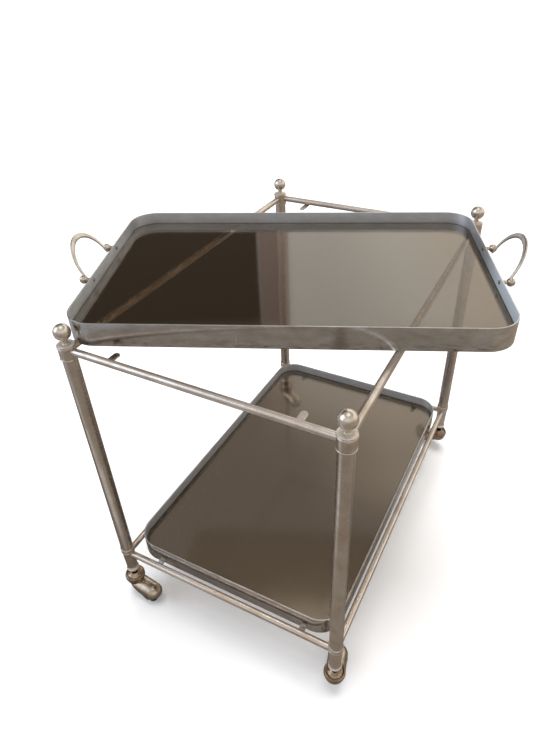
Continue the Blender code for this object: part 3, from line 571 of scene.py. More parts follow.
CUP_SIDES = 56
CUP_RADIUS = 0.021
CUP_FOOT_RADIUS = 0.0160
CUP_TOP = 0.0585
CUP_WELL_RADIUS = 0.0071
CUP_BORE_RADIUS = 0.0043
CUP_FLARE = 0.0022
CUP_FLARE_HEIGHT = 0.0040
CUP_SHOULDER = 0.0016
CUP_SHOULDER_HEIGHT = 0.0115
CUP_ROUND = 0.0004
CUP_ROUND_HEIGHT = 0.0128
CUP_SIDE_HEIGHT = 0.0140
# Each point of the lip is an inset from the cup's radius and a depth below its top
CUP_LIP = [(0.0, 0.0050), (0.0002, 0.0040), (0.0008, 0.0034), (0.0016, 0.0033), (0.0020, 0.0028)]
CUP_LIP += [(0.0020, 0.0021), (0.0017, 0.0014), (0.0018, 0.0006), (0.0024, 0.0), (0.0032, 0.0001)]
CUP_LIP += [(0.0040, 0.0010), (0.0046, 0.0026)]
# Each point of the dish is a radius and a depth below the cup's top
CUP_DISH = [(0.0154, 0.0032), (0.0140, 0.0030), (0.0118, 0.0016), (0.0102, 0.0), (0.0092, -0.0017)]
CUP_DISH += [(0.0078, -0.0027), (CUP_WELL_RADIUS, -0.0027)]
# Ways that the hoods trail, in degrees round from +X
HEADINGS = {"front_left": -6.0, "front_right": 104.0, "rear_right": 162.0, "rear_left": -29.0}


def worn_bronze(name, bright, dark, copper, polish, dulled):
    """Bronze plate on pressed brass, rubbed bright where it is touched and brown in its hollows."""
    material, tree, shader = new_finish(name)
    where = add(tree, "ShaderNodeTexCoord").outputs["Object"]
    patches = add(tree, "ShaderNodeTexNoise", Vector=where, Scale=62.0, Detail=5.0, Roughness=0.6)
    spread = add(tree, "ShaderNodeMapRange", Value=patches, From_Min=0.36, From_Max=0.64)
    plate = add(tree, "ShaderNodeMix", IN_COLOUR, _0=spread, _6=colour(bright), _7=colour(dark))
    blush = add(tree, "ShaderNodeTexNoise", Vector=where, Scale=140.0, Detail=2.0)
    blushed = add(tree, "ShaderNodeMapRange", Value=blush, From_Min=0.52, From_Max=0.72, To_Max=0.7)
    tinted = add(tree, "ShaderNodeMix", IN_COLOUR, _0=blushed, _6=plate, _7=colour(copper))
    scuffs = add(tree, "ShaderNodeTexNoise", Vector=where, Scale=900.0, Detail=2.0)
    rough = add(tree, "ShaderNodeMapRange", Value=spread, To_Min=polish, To_Max=dulled)
    bump = add(tree, "ShaderNodeBump", Height=scuffs, Distance=0.00006, Strength=0.2)
    feed(tree, shader, Base_Color=tinted, Roughness=rough, Normal=bump, Metallic=1.0)
    return material


cup_bronze = worn_bronze("bronze plate, rubbed", "#B3A38F", "#86735F", "#A98061", 0.27, 0.38)
outline = [(CUP_BORE_RADIUS, CUP_BOTTOM), (CUP_FOOT_RADIUS, CUP_BOTTOM)]
outline += [(CUP_FOOT_RADIUS + CUP_FLARE, CUP_BOTTOM + CUP_FLARE_HEIGHT)]
outline += [(CUP_RADIUS - CUP_SHOULDER, CUP_BOTTOM + CUP_SHOULDER_HEIGHT)]
outline += [
    (CUP_RADIUS - CUP_ROUND, CUP_BOTTOM + CUP_ROUND_HEIGHT), (CUP_RADIUS, CUP_BOTTOM + CUP_SIDE_HEIGHT)
]
outline += [(CUP_RADIUS - inset, CUP_TOP - below) for inset, below in CUP_LIP]
outline += [(radius, CUP_TOP - below) for radius, below in CUP_DISH]
outline += [(CUP_WELL_RADIUS, CUP_BOSS_TOP), (CUP_BORE_RADIUS, CUP_BOSS_TOP)]
cup = meshed("caster_cup", turned(outline, CUP_SIDES, closed=True))
trailing = {}
for corner, heading in HEADINGS.items():
    trailing[corner] = axis_of[corner] @ Matrix.Rotation(math.radians(heading), 4, "Z")
    node = "caster_cup_" + corner
    body = "caster_" + corner
    show("caster_dish_" + corner, placed(cup, trailing[corner]), cup_bronze, body, "caster_bronze", node)


# Caster hoods: a shell pressed from brass sheet, bronze plated, that trails behind the cup and covers
# the wheel. It is open below, cut away at its nose, seated for the cup, and drilled for the axle in
# an ear on each side.

HOOD_RADIUS = 0.0195
HOOD_WALL = 0.0012
HOOD_CENTRE_HEIGHT = 0.024
# Distances behind the pin of the middles of the hood's two round ends
HOOD_FRONT_TRAIL = 0.0045
HOOD_REAR_TRAIL = 0.049
HOOD_EDGE = 0.0235
HOOD_EAR_DROP = 0.0080
HOOD_EAR_LENGTH = 0.0105
# Side view of what is cut away at the nose: distance behind the pin, and height
HOOD_NOSE = [(-0.030, -0.010), (0.022, -0.010), (0.022, 0.0230), (-0.030, 0.0453)]
HOOD_END_STEPS = 36
HOOD_SIDE_STEPS = 20
HOOD_DOME_STEPS = 14
HOOD_DOME_ANGLE = math.radians(86.0)
HOOD_STEP = 0.001
PIN_HEAD_ROOM = 0.0026
CUTTER_MARGIN = 0.002
HOLE_SIDES = 24
WHEEL_TRAIL = 0.0444
WHEEL_RADIUS = 0.019
AXLE_RADIUS = 0.0025


def hood_ring(radius, level_at):
    """Plan of the hood at one level, two half circles joined by straight sides, trailing along +X."""
    ring = []
    length = HOOD_REAR_TRAIL - HOOD_FRONT_TRAIL
    for centre, start, way in ((HOOD_REAR_TRAIL, -math.pi / 2, -1), (HOOD_FRONT_TRAIL, math.pi / 2, 1)):
        for step in range(HOOD_END_STEPS + 1):
            angle = start + math.pi * step / HOOD_END_STEPS
            x = centre + radius * math.cos(angle)
            ring.append((x, radius * math.sin(angle), level_at(x)))
        for step in range(1, HOOD_SIDE_STEPS):
            x = centre + way * length * step / HOOD_SIDE_STEPS
            ring.append((x, -way * radius, level_at(x)))
    return ring


def hollowed(mesh, cutters, wall=0.0):
    """Give an open skin its wall, where one is given, and cut other meshes out of it."""
    body = in_scene("carving", mesh)
    helpers = []
    if wall:
        shell = body.modifiers.new("wall", "SOLIDIFY")
        shell.thickness = wall
        shell.offset = -1
        shell.use_even_offset = True
    for cutter in cutters:
        helper = in_scene("cutter", cutter)
        cut = body.modifiers.new("cut", "BOOLEAN")
        cut.operation = "DIFFERENCE"
        cut.solver = "EXACT"
        cut.object = helper
        helpers.append(helper)
    result = bpy.data.meshes.new_from_object(body.evaluated_get(bpy.context.evaluated_depsgraph_get()))
    for used in [body] + helpers:
        bpy.data.objects.remove(used, do_unlink=True)
    return smoothed(result)


hood_bronze = worn_bronze("bronze plate on pressed sheet", "#C6BBAB", "#9C8F7F", "#AC9A86", 0.24, 0.34)


def skirt(x):
    """Height of the hood's lower edge, which dips in an ear round the axle."""
    return HOOD_EDGE - HOOD_EAR_DROP * math.exp(-(((x - WHEEL_TRAIL) / HOOD_EAR_LENGTH) ** 2))


rings = [hood_ring(HOOD_RADIUS, skirt)]
rings.append(hood_ring(HOOD_RADIUS, lambda x: max(skirt(x) + HOOD_STEP, HOOD_CENTRE_HEIGHT)))
for step in range(2, HOOD_DOME_STEPS + 1):
    angle = HOOD_DOME_ANGLE * step / HOOD_DOME_STEPS
    level = HOOD_CENTRE_HEIGHT + HOOD_RADIUS * math.sin(angle)
    rings.append(hood_ring(HOOD_RADIUS * math.cos(angle), lambda x: level))
bm = skinned(rings, "open")
bm.verts.ensure_lookup_table()
bm.faces.new(bm.verts[-len(rings[-1]) :])
skin = meshed("caster_hood", bm)
seat = [(0, CUP_BOTTOM - PIN_HEAD_ROOM), (PIN_HEAD_RADIUS + FIT_GAP, CUP_BOTTOM - PIN_HEAD_ROOM)]
seat += [
    (PIN_HEAD_RADIUS + FIT_GAP, CUP_BOTTOM - FIT_GAP), (CUP_FOOT_RADIUS + FIT_GAP, CUP_BOTTOM - FIT_GAP)
]
seat += [(CUP_FOOT_RADIUS + CUP_FLARE + FIT_GAP, CUP_BOTTOM + CUP_FLARE_HEIGHT)]
seat += [(CUP_RADIUS - CUP_SHOULDER + FIT_GAP, CUP_BOTTOM + CUP_SHOULDER_HEIGHT - FIT_GAP)]
seat += [(CUP_RADIUS + FIT_GAP, CUP_BOTTOM + CUP_ROUND_HEIGHT - FIT_GAP)]
seat += [(CUP_RADIUS + FIT_GAP, CUP_TOP + CUTTER_MARGIN), (0, CUP_TOP + CUTTER_MARGIN)]
reach = HOOD_RADIUS + CUTTER_MARGIN
bore = AXLE_RADIUS + FIT_GAP
hole = [(0, -reach), (bore, -reach), (bore, reach), (0, reach)]
across = Matrix.Translation((WHEEL_TRAIL, 0, WHEEL_RADIUS)) @ Matrix.Rotation(math.pi / 2, 4, "X")
wedge = bmesh.new()
near, far = [[wedge.verts.new((x, side, z)) for x, z in HOOD_NOSE] for side in (-reach, reach)]
for spot in range(len(HOOD_NOSE)):
    wedge.faces.new((near[spot - 1], near[spot], far[spot], far[spot - 1]))
wedge.faces.new(near)
wedge.faces.new(far[::-1])
bmesh.ops.recalc_face_normals(wedge, faces=wedge.faces)
cutters = [
    meshed("seat", turned(seat, CUP_SIDES)), placed(meshed("hole", turned(hole, HOLE_SIDES)), across)
]
cutters.append(meshed("nose", wedge))
hood = hollowed(skin, cutters, HOOD_WALL)
for corner in HEADINGS:
    node = "caster_hood_" + corner
    show(
        "caster_shell_" + corner,
        placed(hood, trailing[corner]),
        hood_bronze,
        "caster_" + corner,
        "caster_bronze",
        node,
    )


# Axles: a plain steel pin through each hood and wheel, with both ends peened over the hood's sides.

AXLE_HEAD = 0.0006
AXLE_HEAD_FACE = 0.55
AXLE_HEAD_EDGE = 0.85
AXLE_SIDES = 28

axle_steel = worn_nickel(
    "bright drawn steel", "#A9A49B", "#6F675C", 0.24, 0.38, 0.008, (600.0, 600.0, 600.0)
)
half = HOOD_RADIUS + AXLE_HEAD
edge = half - AXLE_HEAD / 2
side = [(0, -half), (AXLE_RADIUS * AXLE_HEAD_FACE, -half), (AXLE_RADIUS * AXLE_HEAD_EDGE, -edge)]
side += [(AXLE_RADIUS, -HOOD_RADIUS)]
outline = side + [(radius, -level) for radius, level in reversed(side)]
axle = meshed("caster_axle", turned(outline, AXLE_SIDES))
for corner in HEADINGS:
    laid = placed(axle, trailing[corner], across)
    show(
        "caster_axle_pin_" + corner,
        laid,
        axle_steel,
        "caster_" + corner,
        "axle_steel",
        "caster_axle_" + corner,
    )


# Wheels: solid black rubber moulded round a long hub, crowned so that they roll on a narrow track.
# The rubber has greyed with dust and is scuffed along the tread.

WHEEL_SIDES = 64
WHEEL_WIDTH = 0.024
WHEEL_CROWN = 0.0022
WHEEL_TREAD_FLAT = 0.010
WHEEL_DISH = 0.0015
HUB_RADIUS = 0.0055
HUB_FLANGE = 0.003
WHEEL_SHOULDER = [(0.0022, 0.0004), (0.0007, 0.0)]
WHEEL_CROWN_STEPS = 6
HUB_PLAY = 0.0005
HUB_HALF = HOOD_RADIUS - HOOD_WALL - HUB_PLAY

wheel_rubber, tree, shader = new_finish("solid black rubber, dusty")
where = add(tree, "ShaderNodeTexCoord").outputs["Object"]
dust = add(tree, "ShaderNodeTexNoise", Vector=where, Scale=120.0, Detail=6.0, Roughness=0.7)
dusty = add(tree, "ShaderNodeMapRange", Value=dust, From_Min=0.42, From_Max=0.75)
shade = add(tree, "ShaderNodeMix", IN_COLOUR, _0=dusty, _6=colour("#121212"), _7=colour("#2E2D2C"))
dull = add(tree, "ShaderNodeMapRange", Value=dusty, To_Min=0.38, To_Max=0.75)
bump = add(tree, "ShaderNodeBump", Height=dust, Distance=0.0002, Strength=0.4)
feed(tree, shader, Base_Color=shade, Roughness=dull, Normal=bump)

half = WHEEL_WIDTH / 2
dish = -half + WHEEL_DISH
side = [(bore, -HUB_HALF), (HUB_RADIUS, -HUB_HALF), (HUB_RADIUS, dish), (HUB_RADIUS + HUB_FLANGE, dish)]
side += [(WHEEL_RADIUS - WHEEL_CROWN - inset, -half + above) for inset, above in WHEEL_SHOULDER]
for step in range(WHEEL_CROWN_STEPS + 1):
    share = step / WHEEL_CROWN_STEPS
    side.append(
        (WHEEL_RADIUS - WHEEL_CROWN * (1 - share) ** 2, -half + (half - WHEEL_TREAD_FLAT / 2) * share)
    )
outline = side + [(radius, -level) for radius, level in reversed(side)]
wheel = meshed("caster_wheel", turned(outline, WHEEL_SIDES, closed=True))
for corner in HEADINGS:
    laid = placed(wheel, trailing[corner], across)
    show(
        "rubber_wheel_" + corner,
        laid,
        wheel_rubber,
        "wheel_" + corner,
        "wheel_rubber",
        "caster_wheel_" + corner,
    )


# Tray rims: a strip of nickelled steel, 42 mm high and 2 mm thick, bent round four corners and butted
# at the back, with a narrow ledge inside that the glass lies on. The strip is greyer and smoother than
# the tubes: fine scratches run along it, and damp has left dark stains above its lower edge.

TRAY_LENGTH = 0.708
TRAY_WIDTH = 0.455
TRAY_HEIGHT = 0.042
TRAY_CORNER_RADIUS = 0.049
TRAY_STRIP = 0.002
TRAY_EDGE_ROUND = 0.0006
LEDGE_WIDTH = 0.006
LEDGE_THICKNESS = 0.0015
GLASS_TOP = 0.020
GLASS_THICKNESS = 0.005
CORNER_POINTS = 26
# Faces deeper than this count as inner ones, and their UVs are shifted along so that a finish can tell
INNER_FROM = TRAY_STRIP * 0.6
INNER_SHIFT = 10.0
SERVING_TURN = math.radians(23.31)


def new_rim_tree():
    """Geometry Nodes that sweep the strip and its ledge round the tray's plan."""
    tree = bpy.data.node_groups.new("bent tray rim", "GeometryNodeTree")
    sizes = (
        "Length",
        "Width",
        "Corner Radius",
        "Height",
        "Strip",
        "Edge Round",
        "Ledge Width",
        "Ledge Thickness",
        "Ledge Top",
    )
    for size in sizes:
        tree.interface.new_socket(size, in_out="INPUT", socket_type="NodeSocketFloat")
    tree.interface.new_socket("Corner Points", in_out="INPUT", socket_type="NodeSocketInt")
    tree.interface.new_socket("Finish", in_out="INPUT", socket_type="NodeSocketMaterial")
    tree.interface.new_socket("Geometry", in_out="OUTPUT", socket_type="NodeSocketGeometry")
    given = tree.nodes.new("NodeGroupInput").outputs

    def half_of(value):
        return add(tree, "ShaderNodeMath", {"operation": "MULTIPLY"}, _0=value, _1=0.5)

    def less(value, other):
        return add(tree, "ShaderNodeMath", {"operation": "SUBTRACT"}, _0=value, _1=other)

    def swept(width, height, inset, level, rounding):
        """Sweep an upright section of one width and height round the plan, with its foot at a level."""
        middle = add(tree, "ShaderNodeMath", {"operation": "ADD"}, _0=inset, _1=half_of(width))
        twice = add(tree, "ShaderNodeMath", {"operation": "MULTIPLY"}, _0=middle, _1=2.0)
        plan = add(
            tree,
            "GeometryNodeCurvePrimitiveQuadrilateral",
            _0=less(given["Length"], twice),
            _1=less(given["Width"], twice),
        )
        bent = add(
            tree,
            "GeometryNodeFilletCurve",
            {"mode": "POLY"},
            Curve=plan,
            Radius=less(given["Corner Radius"], middle),
            Count=given["Corner Points"],
        )
        upright = add(tree, "GeometryNodeSetCurveNormal", {"mode": "Z_UP"}, Curve=bent)
        outline = add(tree, "GeometryNodeCurvePrimitiveQuadrilateral", _0=width, _1=height)
        eased = add(
            tree, "GeometryNodeFilletCurve", {"mode": "POLY"}, Curve=outline, Radius=rounding, Count=3
        )
        wall = add(tree, "GeometryNodeCurveToMesh", Curve=upright, Profile_Curve=eased)
        raised = add(tree, "ShaderNodeMath", {"operation": "ADD"}, _0=level, _1=half_of(height))
        lift = add(tree, "ShaderNodeCombineXYZ", Z=raised)
        return add(tree, "GeometryNodeTransform", Geometry=wall, Translation=lift)

    strip = swept(given["Strip"], given["Height"], 0.0, 0.0, given["Edge Round"])
    ledge_low = less(given["Ledge Top"], given["Ledge Thickness"])
    ledge = swept(
        given["Ledge Width"], given["Ledge Thickness"], given["Strip"], ledge_low, given["Edge Round"]
    )
    joined = add(tree, "GeometryNodeJoinGeometry", _0=ledge)
    feed(tree, joined, _0=strip)
    real = add(tree, "GeometryNodeRealizeInstances", Geometry=joined)
    painted = add(tree, "GeometryNodeSetMaterial", Geometry=real, Material=given["Finish"])
    add(tree, "NodeGroupOutput", _0=painted)
    return tree


def grown(name, tree, values, start=None):
    """Run a node tree with named inputs on a carrier mesh and return the plain mesh that it makes."""
    carrier = in_scene(name, start or bpy.data.meshes.new(name))
    modifier = carrier.modifiers.new(name, "NODES")
    modifier.node_group = tree
    sockets = {item.name: item.identifier for item in tree.interface.items_tree if item.in_out == "INPUT"}
    for key, value in values.items():
        modifier[sockets[key]] = value
    mesh = bpy.data.meshes.new_from_object(carrier.evaluated_get(bpy.context.evaluated_depsgraph_get()))
    carrier.modifiers.clear()
    bpy.data.objects.remove(carrier, do_unlink=True)
    return mesh


def way_round(x, y):
    """Distance along the tray's plan, from the middle of its back, to the point nearest (x, y)."""
    straight_x = TRAY_LENGTH / 2 - TRAY_CORNER_RADIUS
    straight_y = TRAY_WIDTH / 2 - TRAY_CORNER_RADIUS
    bend = TRAY_CORNER_RADIUS * math.pi / 2
    if abs(x) > straight_x and abs(y) > straight_y:
        angle = math.atan2(abs(y) - straight_y, abs(x) - straight_x)
        share = straight_x + TRAY_CORNER_RADIUS * (math.pi / 2 - angle)
    elif abs(y) > straight_y:
        share = abs(x)
    else:
        share = straight_x + bend + straight_y - abs(y)
    half_way = 2 * (straight_x + bend + straight_y)
    along = share if y >= 0 else half_way - share
    return along if x >= 0 else 2 * half_way - along


def unrolled(mesh):
    """Give a rim its UV map: metres along the strip, and metres up it."""
    layer = mesh.uv_layers.new(name="strip")
    whole = 2 * way_round(0.0, -TRAY_WIDTH / 2)
    for face in mesh.polygons:
        spans = []
        for corner in face.loop_indices:
            point = mesh.vertices[mesh.loops[corner].vertex_index].co
            spans.append((corner, way_round(point.x, point.y), point.z))
        least = min(along for _, along, _ in spans)
        flat_x = max(abs(face.center.x) - TRAY_LENGTH / 2 + TRAY_CORNER_RADIUS, 0.0)
        flat_y = max(abs(face.center.y) - TRAY_WIDTH / 2 + TRAY_CORNER_RADIUS, 0.0)
        inside = math.hypot(flat_x, flat_y) < TRAY_CORNER_RADIUS - INNER_FROM
        for corner, along, up in spans:
            near = along - whole if along - least > whole / 2 else along
            layer.data[corner].uv = (near + INNER_SHIFT * inside, up)


rim_nickel, tree, shader = new_finish("dull nickelled strip, scratched and stained")
strip = add(tree, "ShaderNodeUVMap", {"uv_map": "strip"})
blotch_place = add(tree, "ShaderNodeMapping", Vector=strip, Scale=(26.0, 60.0, 1.0))
blotches = add(tree, "ShaderNodeTexNoise", Vector=blotch_place, Scale=1.0, Detail=6.0, Roughness=0.65)
spread = add(tree, "ShaderNodeMapRange", Value=blotches, From_Min=0.35, From_Max=0.68)
plate = add(tree, "ShaderNodeMix", IN_COLOUR, _0=spread, _6=colour("#C6C6C8"), _7=colour("#ACA7A4"))
on_strip = add(tree, "ShaderNodeSeparateXYZ", Vector=strip)
low_edge = add(tree, "ShaderNodeMapRange", Value=on_strip.outputs["Y"], From_Min=0.017, From_Max=0.004)
stain_place = add(tree, "ShaderNodeMapping", Vector=strip, Scale=(55.0, 300.0, 1.0))
stains = add(tree, "ShaderNodeTexNoise", Vector=stain_place, Scale=1.0, Detail=7.0, Roughness=0.7)
stained = add(tree, "ShaderNodeMapRange", Value=stains, From_Min=0.50, From_Max=0.64)
stain_mask = add(tree, "ShaderNodeMath", {"operation": "MULTIPLY"}, _0=low_edge, _1=stained)
darker = add(tree, "ShaderNodeMix", IN_COLOUR, _0=stain_mask, _6=plate, _7=colour("#6E655E"))
# Rolling lines are hundredths of a millimetre apart; they are drawn 0.4 mm apart so that they show
line_place = add(tree, "ShaderNodeMapping", Vector=strip, Scale=(30.0, 2400.0, 1.0))
lines = add(tree, "ShaderNodeTexNoise", Vector=line_place, Scale=1.0, Detail=3.0)
scratch_place = add(
    tree, "ShaderNodeMapping", Vector=strip, Rotation=(0.0, 0.0, 0.9), Scale=(240.0, 14.0, 1.0)
)
scratches = add(tree, "ShaderNodeTexNoise", Vector=scratch_place, Scale=1.0, Detail=1.0)
scratched = add(tree, "ShaderNodeMapRange", Value=scratches, From_Min=0.76, From_Max=0.79)
rubbed = add(tree, "ShaderNodeMix", IN_COLOUR, _0=scratched, _6=darker, _7=colour("#DEDAD4"))
gloss = add(tree, "ShaderNodeMapRange", Value=spread, To_Min=0.13, To_Max=0.19)
lined = add(tree, "ShaderNodeMapRange", Value=lines, From_Min=0.3, From_Max=0.7, To_Min=-0.03, To_Max=0.05)
rough = add(tree, "ShaderNodeMath", {"operation": "ADD"}, _0=gloss, _1=lined)
stain_dull = add(tree, "ShaderNodeMath", {"operation": "MULTIPLY_ADD"}, _0=stain_mask, _1=0.18, _2=rough)
inner_face = add(
    tree, "ShaderNodeMath", {"operation": "GREATER_THAN"}, _0=on_strip.outputs["X"], _1=INNER_SHIFT / 2
)
rougher = add(tree, "ShaderNodeMath", {"operation": "MULTIPLY_ADD"}, _0=inner_face, _1=0.20, _2=stain_dull)
wobble_place = add(tree, "ShaderNodeMapping", Vector=strip, Scale=(18.0, 8.0, 1.0))
wobble = add(tree, "ShaderNodeTexNoise", Vector=wobble_place, Scale=1.0, Detail=1.0)
dented = add(tree, "ShaderNodeBump", Height=wobble, Distance=0.0006, Strength=0.35)
bump = add(tree, "ShaderNodeBump", Height=lines, Distance=0.00003, Strength=0.5, Normal=dented)
# The inner face is drawn paler and less metallic, most of all at the right-hand end: painted light,
# for the soft light that fell there
place = add(tree, "ShaderNodeSeparateXYZ", Vector=add(tree, "ShaderNodeTexCoord").outputs["Object"])
right_end = add(
    tree,
    "ShaderNodeMapRange",
    Value=place.outputs["X"],
    From_Min=0.300,
    From_Max=0.345,
    To_Min=0.32,
    To_Max=0.85,
)
painted_light_share = add(tree, "ShaderNodeMath", {"operation": "MULTIPLY"}, _0=inner_face, _1=right_end)
painted_light_metal = add(tree, "ShaderNodeMath", {"operation": "SUBTRACT"}, _0=1.0, _1=painted_light_share)
pale = add(tree, "ShaderNodeMix", IN_COLOUR, _0=painted_light_share, _6=rubbed, _7=colour("#D2DCE6"))
feed(tree, shader, Base_Color=pale, Roughness=rougher, Metallic=painted_light_metal, Normal=bump)

rim_tree = new_rim_tree()
rim = grown(
    "tray_rim",
    rim_tree,
    {
        "Length": TRAY_LENGTH,
        "Width": TRAY_WIDTH,
        "Corner Radius": TRAY_CORNER_RADIUS,
        "Height": TRAY_HEIGHT,
        "Strip": TRAY_STRIP,
        "Edge Round": TRAY_EDGE_ROUND,
        "Ledge Width": LEDGE_WIDTH,
        "Ledge Thickness": LEDGE_THICKNESS,
        "Ledge Top": GLASS_TOP - GLASS_THICKNESS - FIT_GAP,
        "Corner Points": CORNER_POINTS,
        "Finish": rim_nickel,
    },
)
unrolled(rim)
smoothed(rim, 50.0)
tray_place = {}
for body, turn in (("serving_tray", SERVING_TURN), ("lower_tray", math.pi / 2)):
    low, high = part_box(body + "_rim")
    middle = (low + high) / 2
    tray_place[body] = Matrix.Translation((middle.x, middle.y, low.z)) @ Matrix.Rotation(turn, 4, "Z")
    node = body + "_rim"
    show(body + "_strip", placed(rim, tray_place[body]), rim_nickel, body, "rim_nickel", node)


# Glass: a 5 mm pane of smoked float glass in each tray, with ground and polished edges. It is clear
# brown-grey right through, and its face carries the faint haze and wipe marks of use.

GLASS_BEVEL = 0.0007
GLASS_EDGE = (0.0002, 0.0003)
LOWER_PANE_ETCH = 0.10

smoked_glass, tree, shader = new_finish("smoked float glass")
where = add(tree, "ShaderNodeTexCoord").outputs["Object"]
haze = add(tree, "ShaderNodeTexNoise", Vector=where, Scale=14.0, Detail=5.0, Roughness=0.6)
gloss = add(tree, "ShaderNodeMapRange", Value=haze, From_Min=0.35, From_Max=0.75, To_Min=0.0, To_Max=0.03)
height = add(tree, "ShaderNodeSeparateXYZ", Vector=where)
# The lower pane is drawn a little rougher than the upper one, so that it shines without mirroring
etched = add(
    tree,
    "ShaderNodeMapRange",
    Value=height.outputs["Z"],
    From_Min=0.2,
    From_Max=0.5,
    To_Min=LOWER_PANE_ETCH,
    To_Max=0.012,
)
total = add(tree, "ShaderNodeMath", {"operation": "ADD"}, _0=gloss, _1=etched)
feed(tree, shader, Roughness=total, Base_Color=colour("#A89C8C"), Transmission_Weight=1.0, IOR=1.52)


def tray_ring(inset, level):
    """Plan of a tray, long side along X, drawn in by an inset."""
    radius = TRAY_CORNER_RADIUS - inset
    centre_x = TRAY_LENGTH / 2 - TRAY_CORNER_RADIUS
    centre_y = TRAY_WIDTH / 2 - TRAY_CORNER_RADIUS
    ring = []
    for quarter, (side_x, side_y) in enumerate(((1, 1), (-1, 1), (-1, -1), (1, -1))):
        for step in range(CORNER_POINTS):
            angle = (quarter + step / (CORNER_POINTS - 1)) * math.pi / 2
            ring.append(
                (
                    side_x * centre_x + radius * math.cos(angle),
                    side_y * centre_y + radius * math.sin(angle),
                    level,
                )
            )
    return ring


inset = TRAY_STRIP + FIT_GAP
glass_low = GLASS_TOP - GLASS_THICKNESS
bevel = [(GLASS_BEVEL, 0.0), GLASS_EDGE, (0.0, GLASS_BEVEL)]
section = [(inset + inward, glass_low + rise) for inward, rise in bevel]
section += [(inset + inward, GLASS_TOP - rise) for inward, rise in reversed(bevel)]
pane = meshed("glass", skinned([tray_ring(edge, level) for edge, level in section]), 30.0)
for body in ("serving_tray", "lower_tray"):
    node = body + "_glass"
    show(body + "_pane", placed(pane, tray_place[body]), smoked_glass, body, "smoked_glass", node)


# Handles: a crescent strap of solid brass at each end of the serving tray, filed to an oval section,
# widest at its crown, and nickel plated over a warm ground. Both stand out at the same lean.

HANDLE_HALF_WIDTH = 0.0585
HANDLE_RISE = 0.0560
HANDLE_FOOT_HALF_WIDTH = 0.0574
HANDLE_TAIL = 0.0055
STRAP_WIDTH = 0.0102
STRAP_END_WIDTH = 0.0048
STRAP_THICKNESS = 0.0046
STRAP_END_THICKNESS = 0.0034
HANDLE_LEAN = math.radians(30.0)
HANDLE_STEPS = 72
STRAP_POINTS = 20
STRAP_SQUARENESS = 0.7
FOOT_BEND_POWER = 10
KNOB_HEIGHT = 0.0335
KNOB_STANDOFF = 0.016

handle_nickel = worn_nickel(
    "worn nickel over warm brass", "#D2CCC4", "#B8AEA2", 0.20, 0.32, 0.018, (500.0, 160.0, 160.0)
)


def strap_middle(angle):
    """The crescent's middle line in its own plane, drawn in a little at its feet."""
    out = math.cos(angle)
    drawn_in = 1 + (HANDLE_FOOT_HALF_WIDTH / HANDLE_HALF_WIDTH - 1) * abs(out) ** FOOT_BEND_POWER
    return -HANDLE_HALF_WIDTH * out * drawn_in, HANDLE_RISE * math.sin(angle)


stations = [(-HANDLE_FOOT_HALF_WIDTH, -HANDLE_TAIL, -1.0, 0.0, 0.0)]
for step in range(HANDLE_STEPS + 1):
    angle = math.pi * step / HANDLE_STEPS
    y, z = strap_middle(angle)
    normal = math.atan2(math.sin(angle) * HANDLE_HALF_WIDTH, -math.cos(angle) * HANDLE_RISE)
    stations.append((y, z, math.cos(normal), math.sin(normal), math.sin(angle)))
stations.append((HANDLE_FOOT_HALF_WIDTH, -HANDLE_TAIL, 1.0, 0.0, 0.0))
rings = []
for y, z, normal_y, normal_z, swell in stations:
    half_width = (STRAP_END_WIDTH + (STRAP_WIDTH - STRAP_END_WIDTH) * swell) / 2
    half_thick = (STRAP_THICKNESS * swell + STRAP_END_THICKNESS * (1 - swell)) / 2
    ring = []
    for point in range(STRAP_POINTS):
        a = math.tau * point / STRAP_POINTS
        wide = half_width * math.copysign(abs(math.cos(a)) ** STRAP_SQUARENESS, math.cos(a))
        thick = half_thick * math.copysign(abs(math.sin(a)) ** STRAP_SQUARENESS, math.sin(a))
        ring.append((thick, y + normal_y * wide, z + normal_z * wide))
    rings.append(ring)
strap = meshed("handle", skinned(rings), 60.0)
handle_ends = {"right": (0.0, 1), "left": (math.pi, -1)}
foot = TRAY_LENGTH / 2 + KNOB_STANDOFF
for end, (turn, way) in handle_ends.items():
    face = Matrix.Translation((way * foot, 0, KNOB_HEIGHT)) @ Matrix.Rotation(turn, 4, "Z")
    laid = placed(strap, tray_place["serving_tray"], face, Matrix.Rotation(HANDLE_LEAN, 4, "Y"))
    show("crescent_handle_" + end, laid, handle_nickel, "serving_tray", "handle_nickel", "handle_" + end)


# Knobs: a 15 mm ball on a short stem and foot, turned from brass, at each foot of a handle. The ball
# is brazed to the strap's outer side, and a screw through the rim holds it.

KNOB_HALF_SPACING = 0.0670
KNOB_RADIUS = 0.0076
KNOB_STEM_RADIUS = 0.0033
KNOB_FOOT_RADIUS = 0.005
KNOB_FOOT_THICKNESS = 0.0015
SCREW_RADIUS = 0.0016
SCREW_GRIP = 0.0045
KNOB_FOOT_EDGE = [(0.0003, 0.0), (0.0, 0.0004), (0.0004, 0.0010)]
KNOB_FLARE = 0.0012
KNOB_FLARE_HEIGHT = 0.003
KNOB_FLARE_STEPS = 4
KNOB_BALL_STEPS = 18
KNOB_SIDES = 40

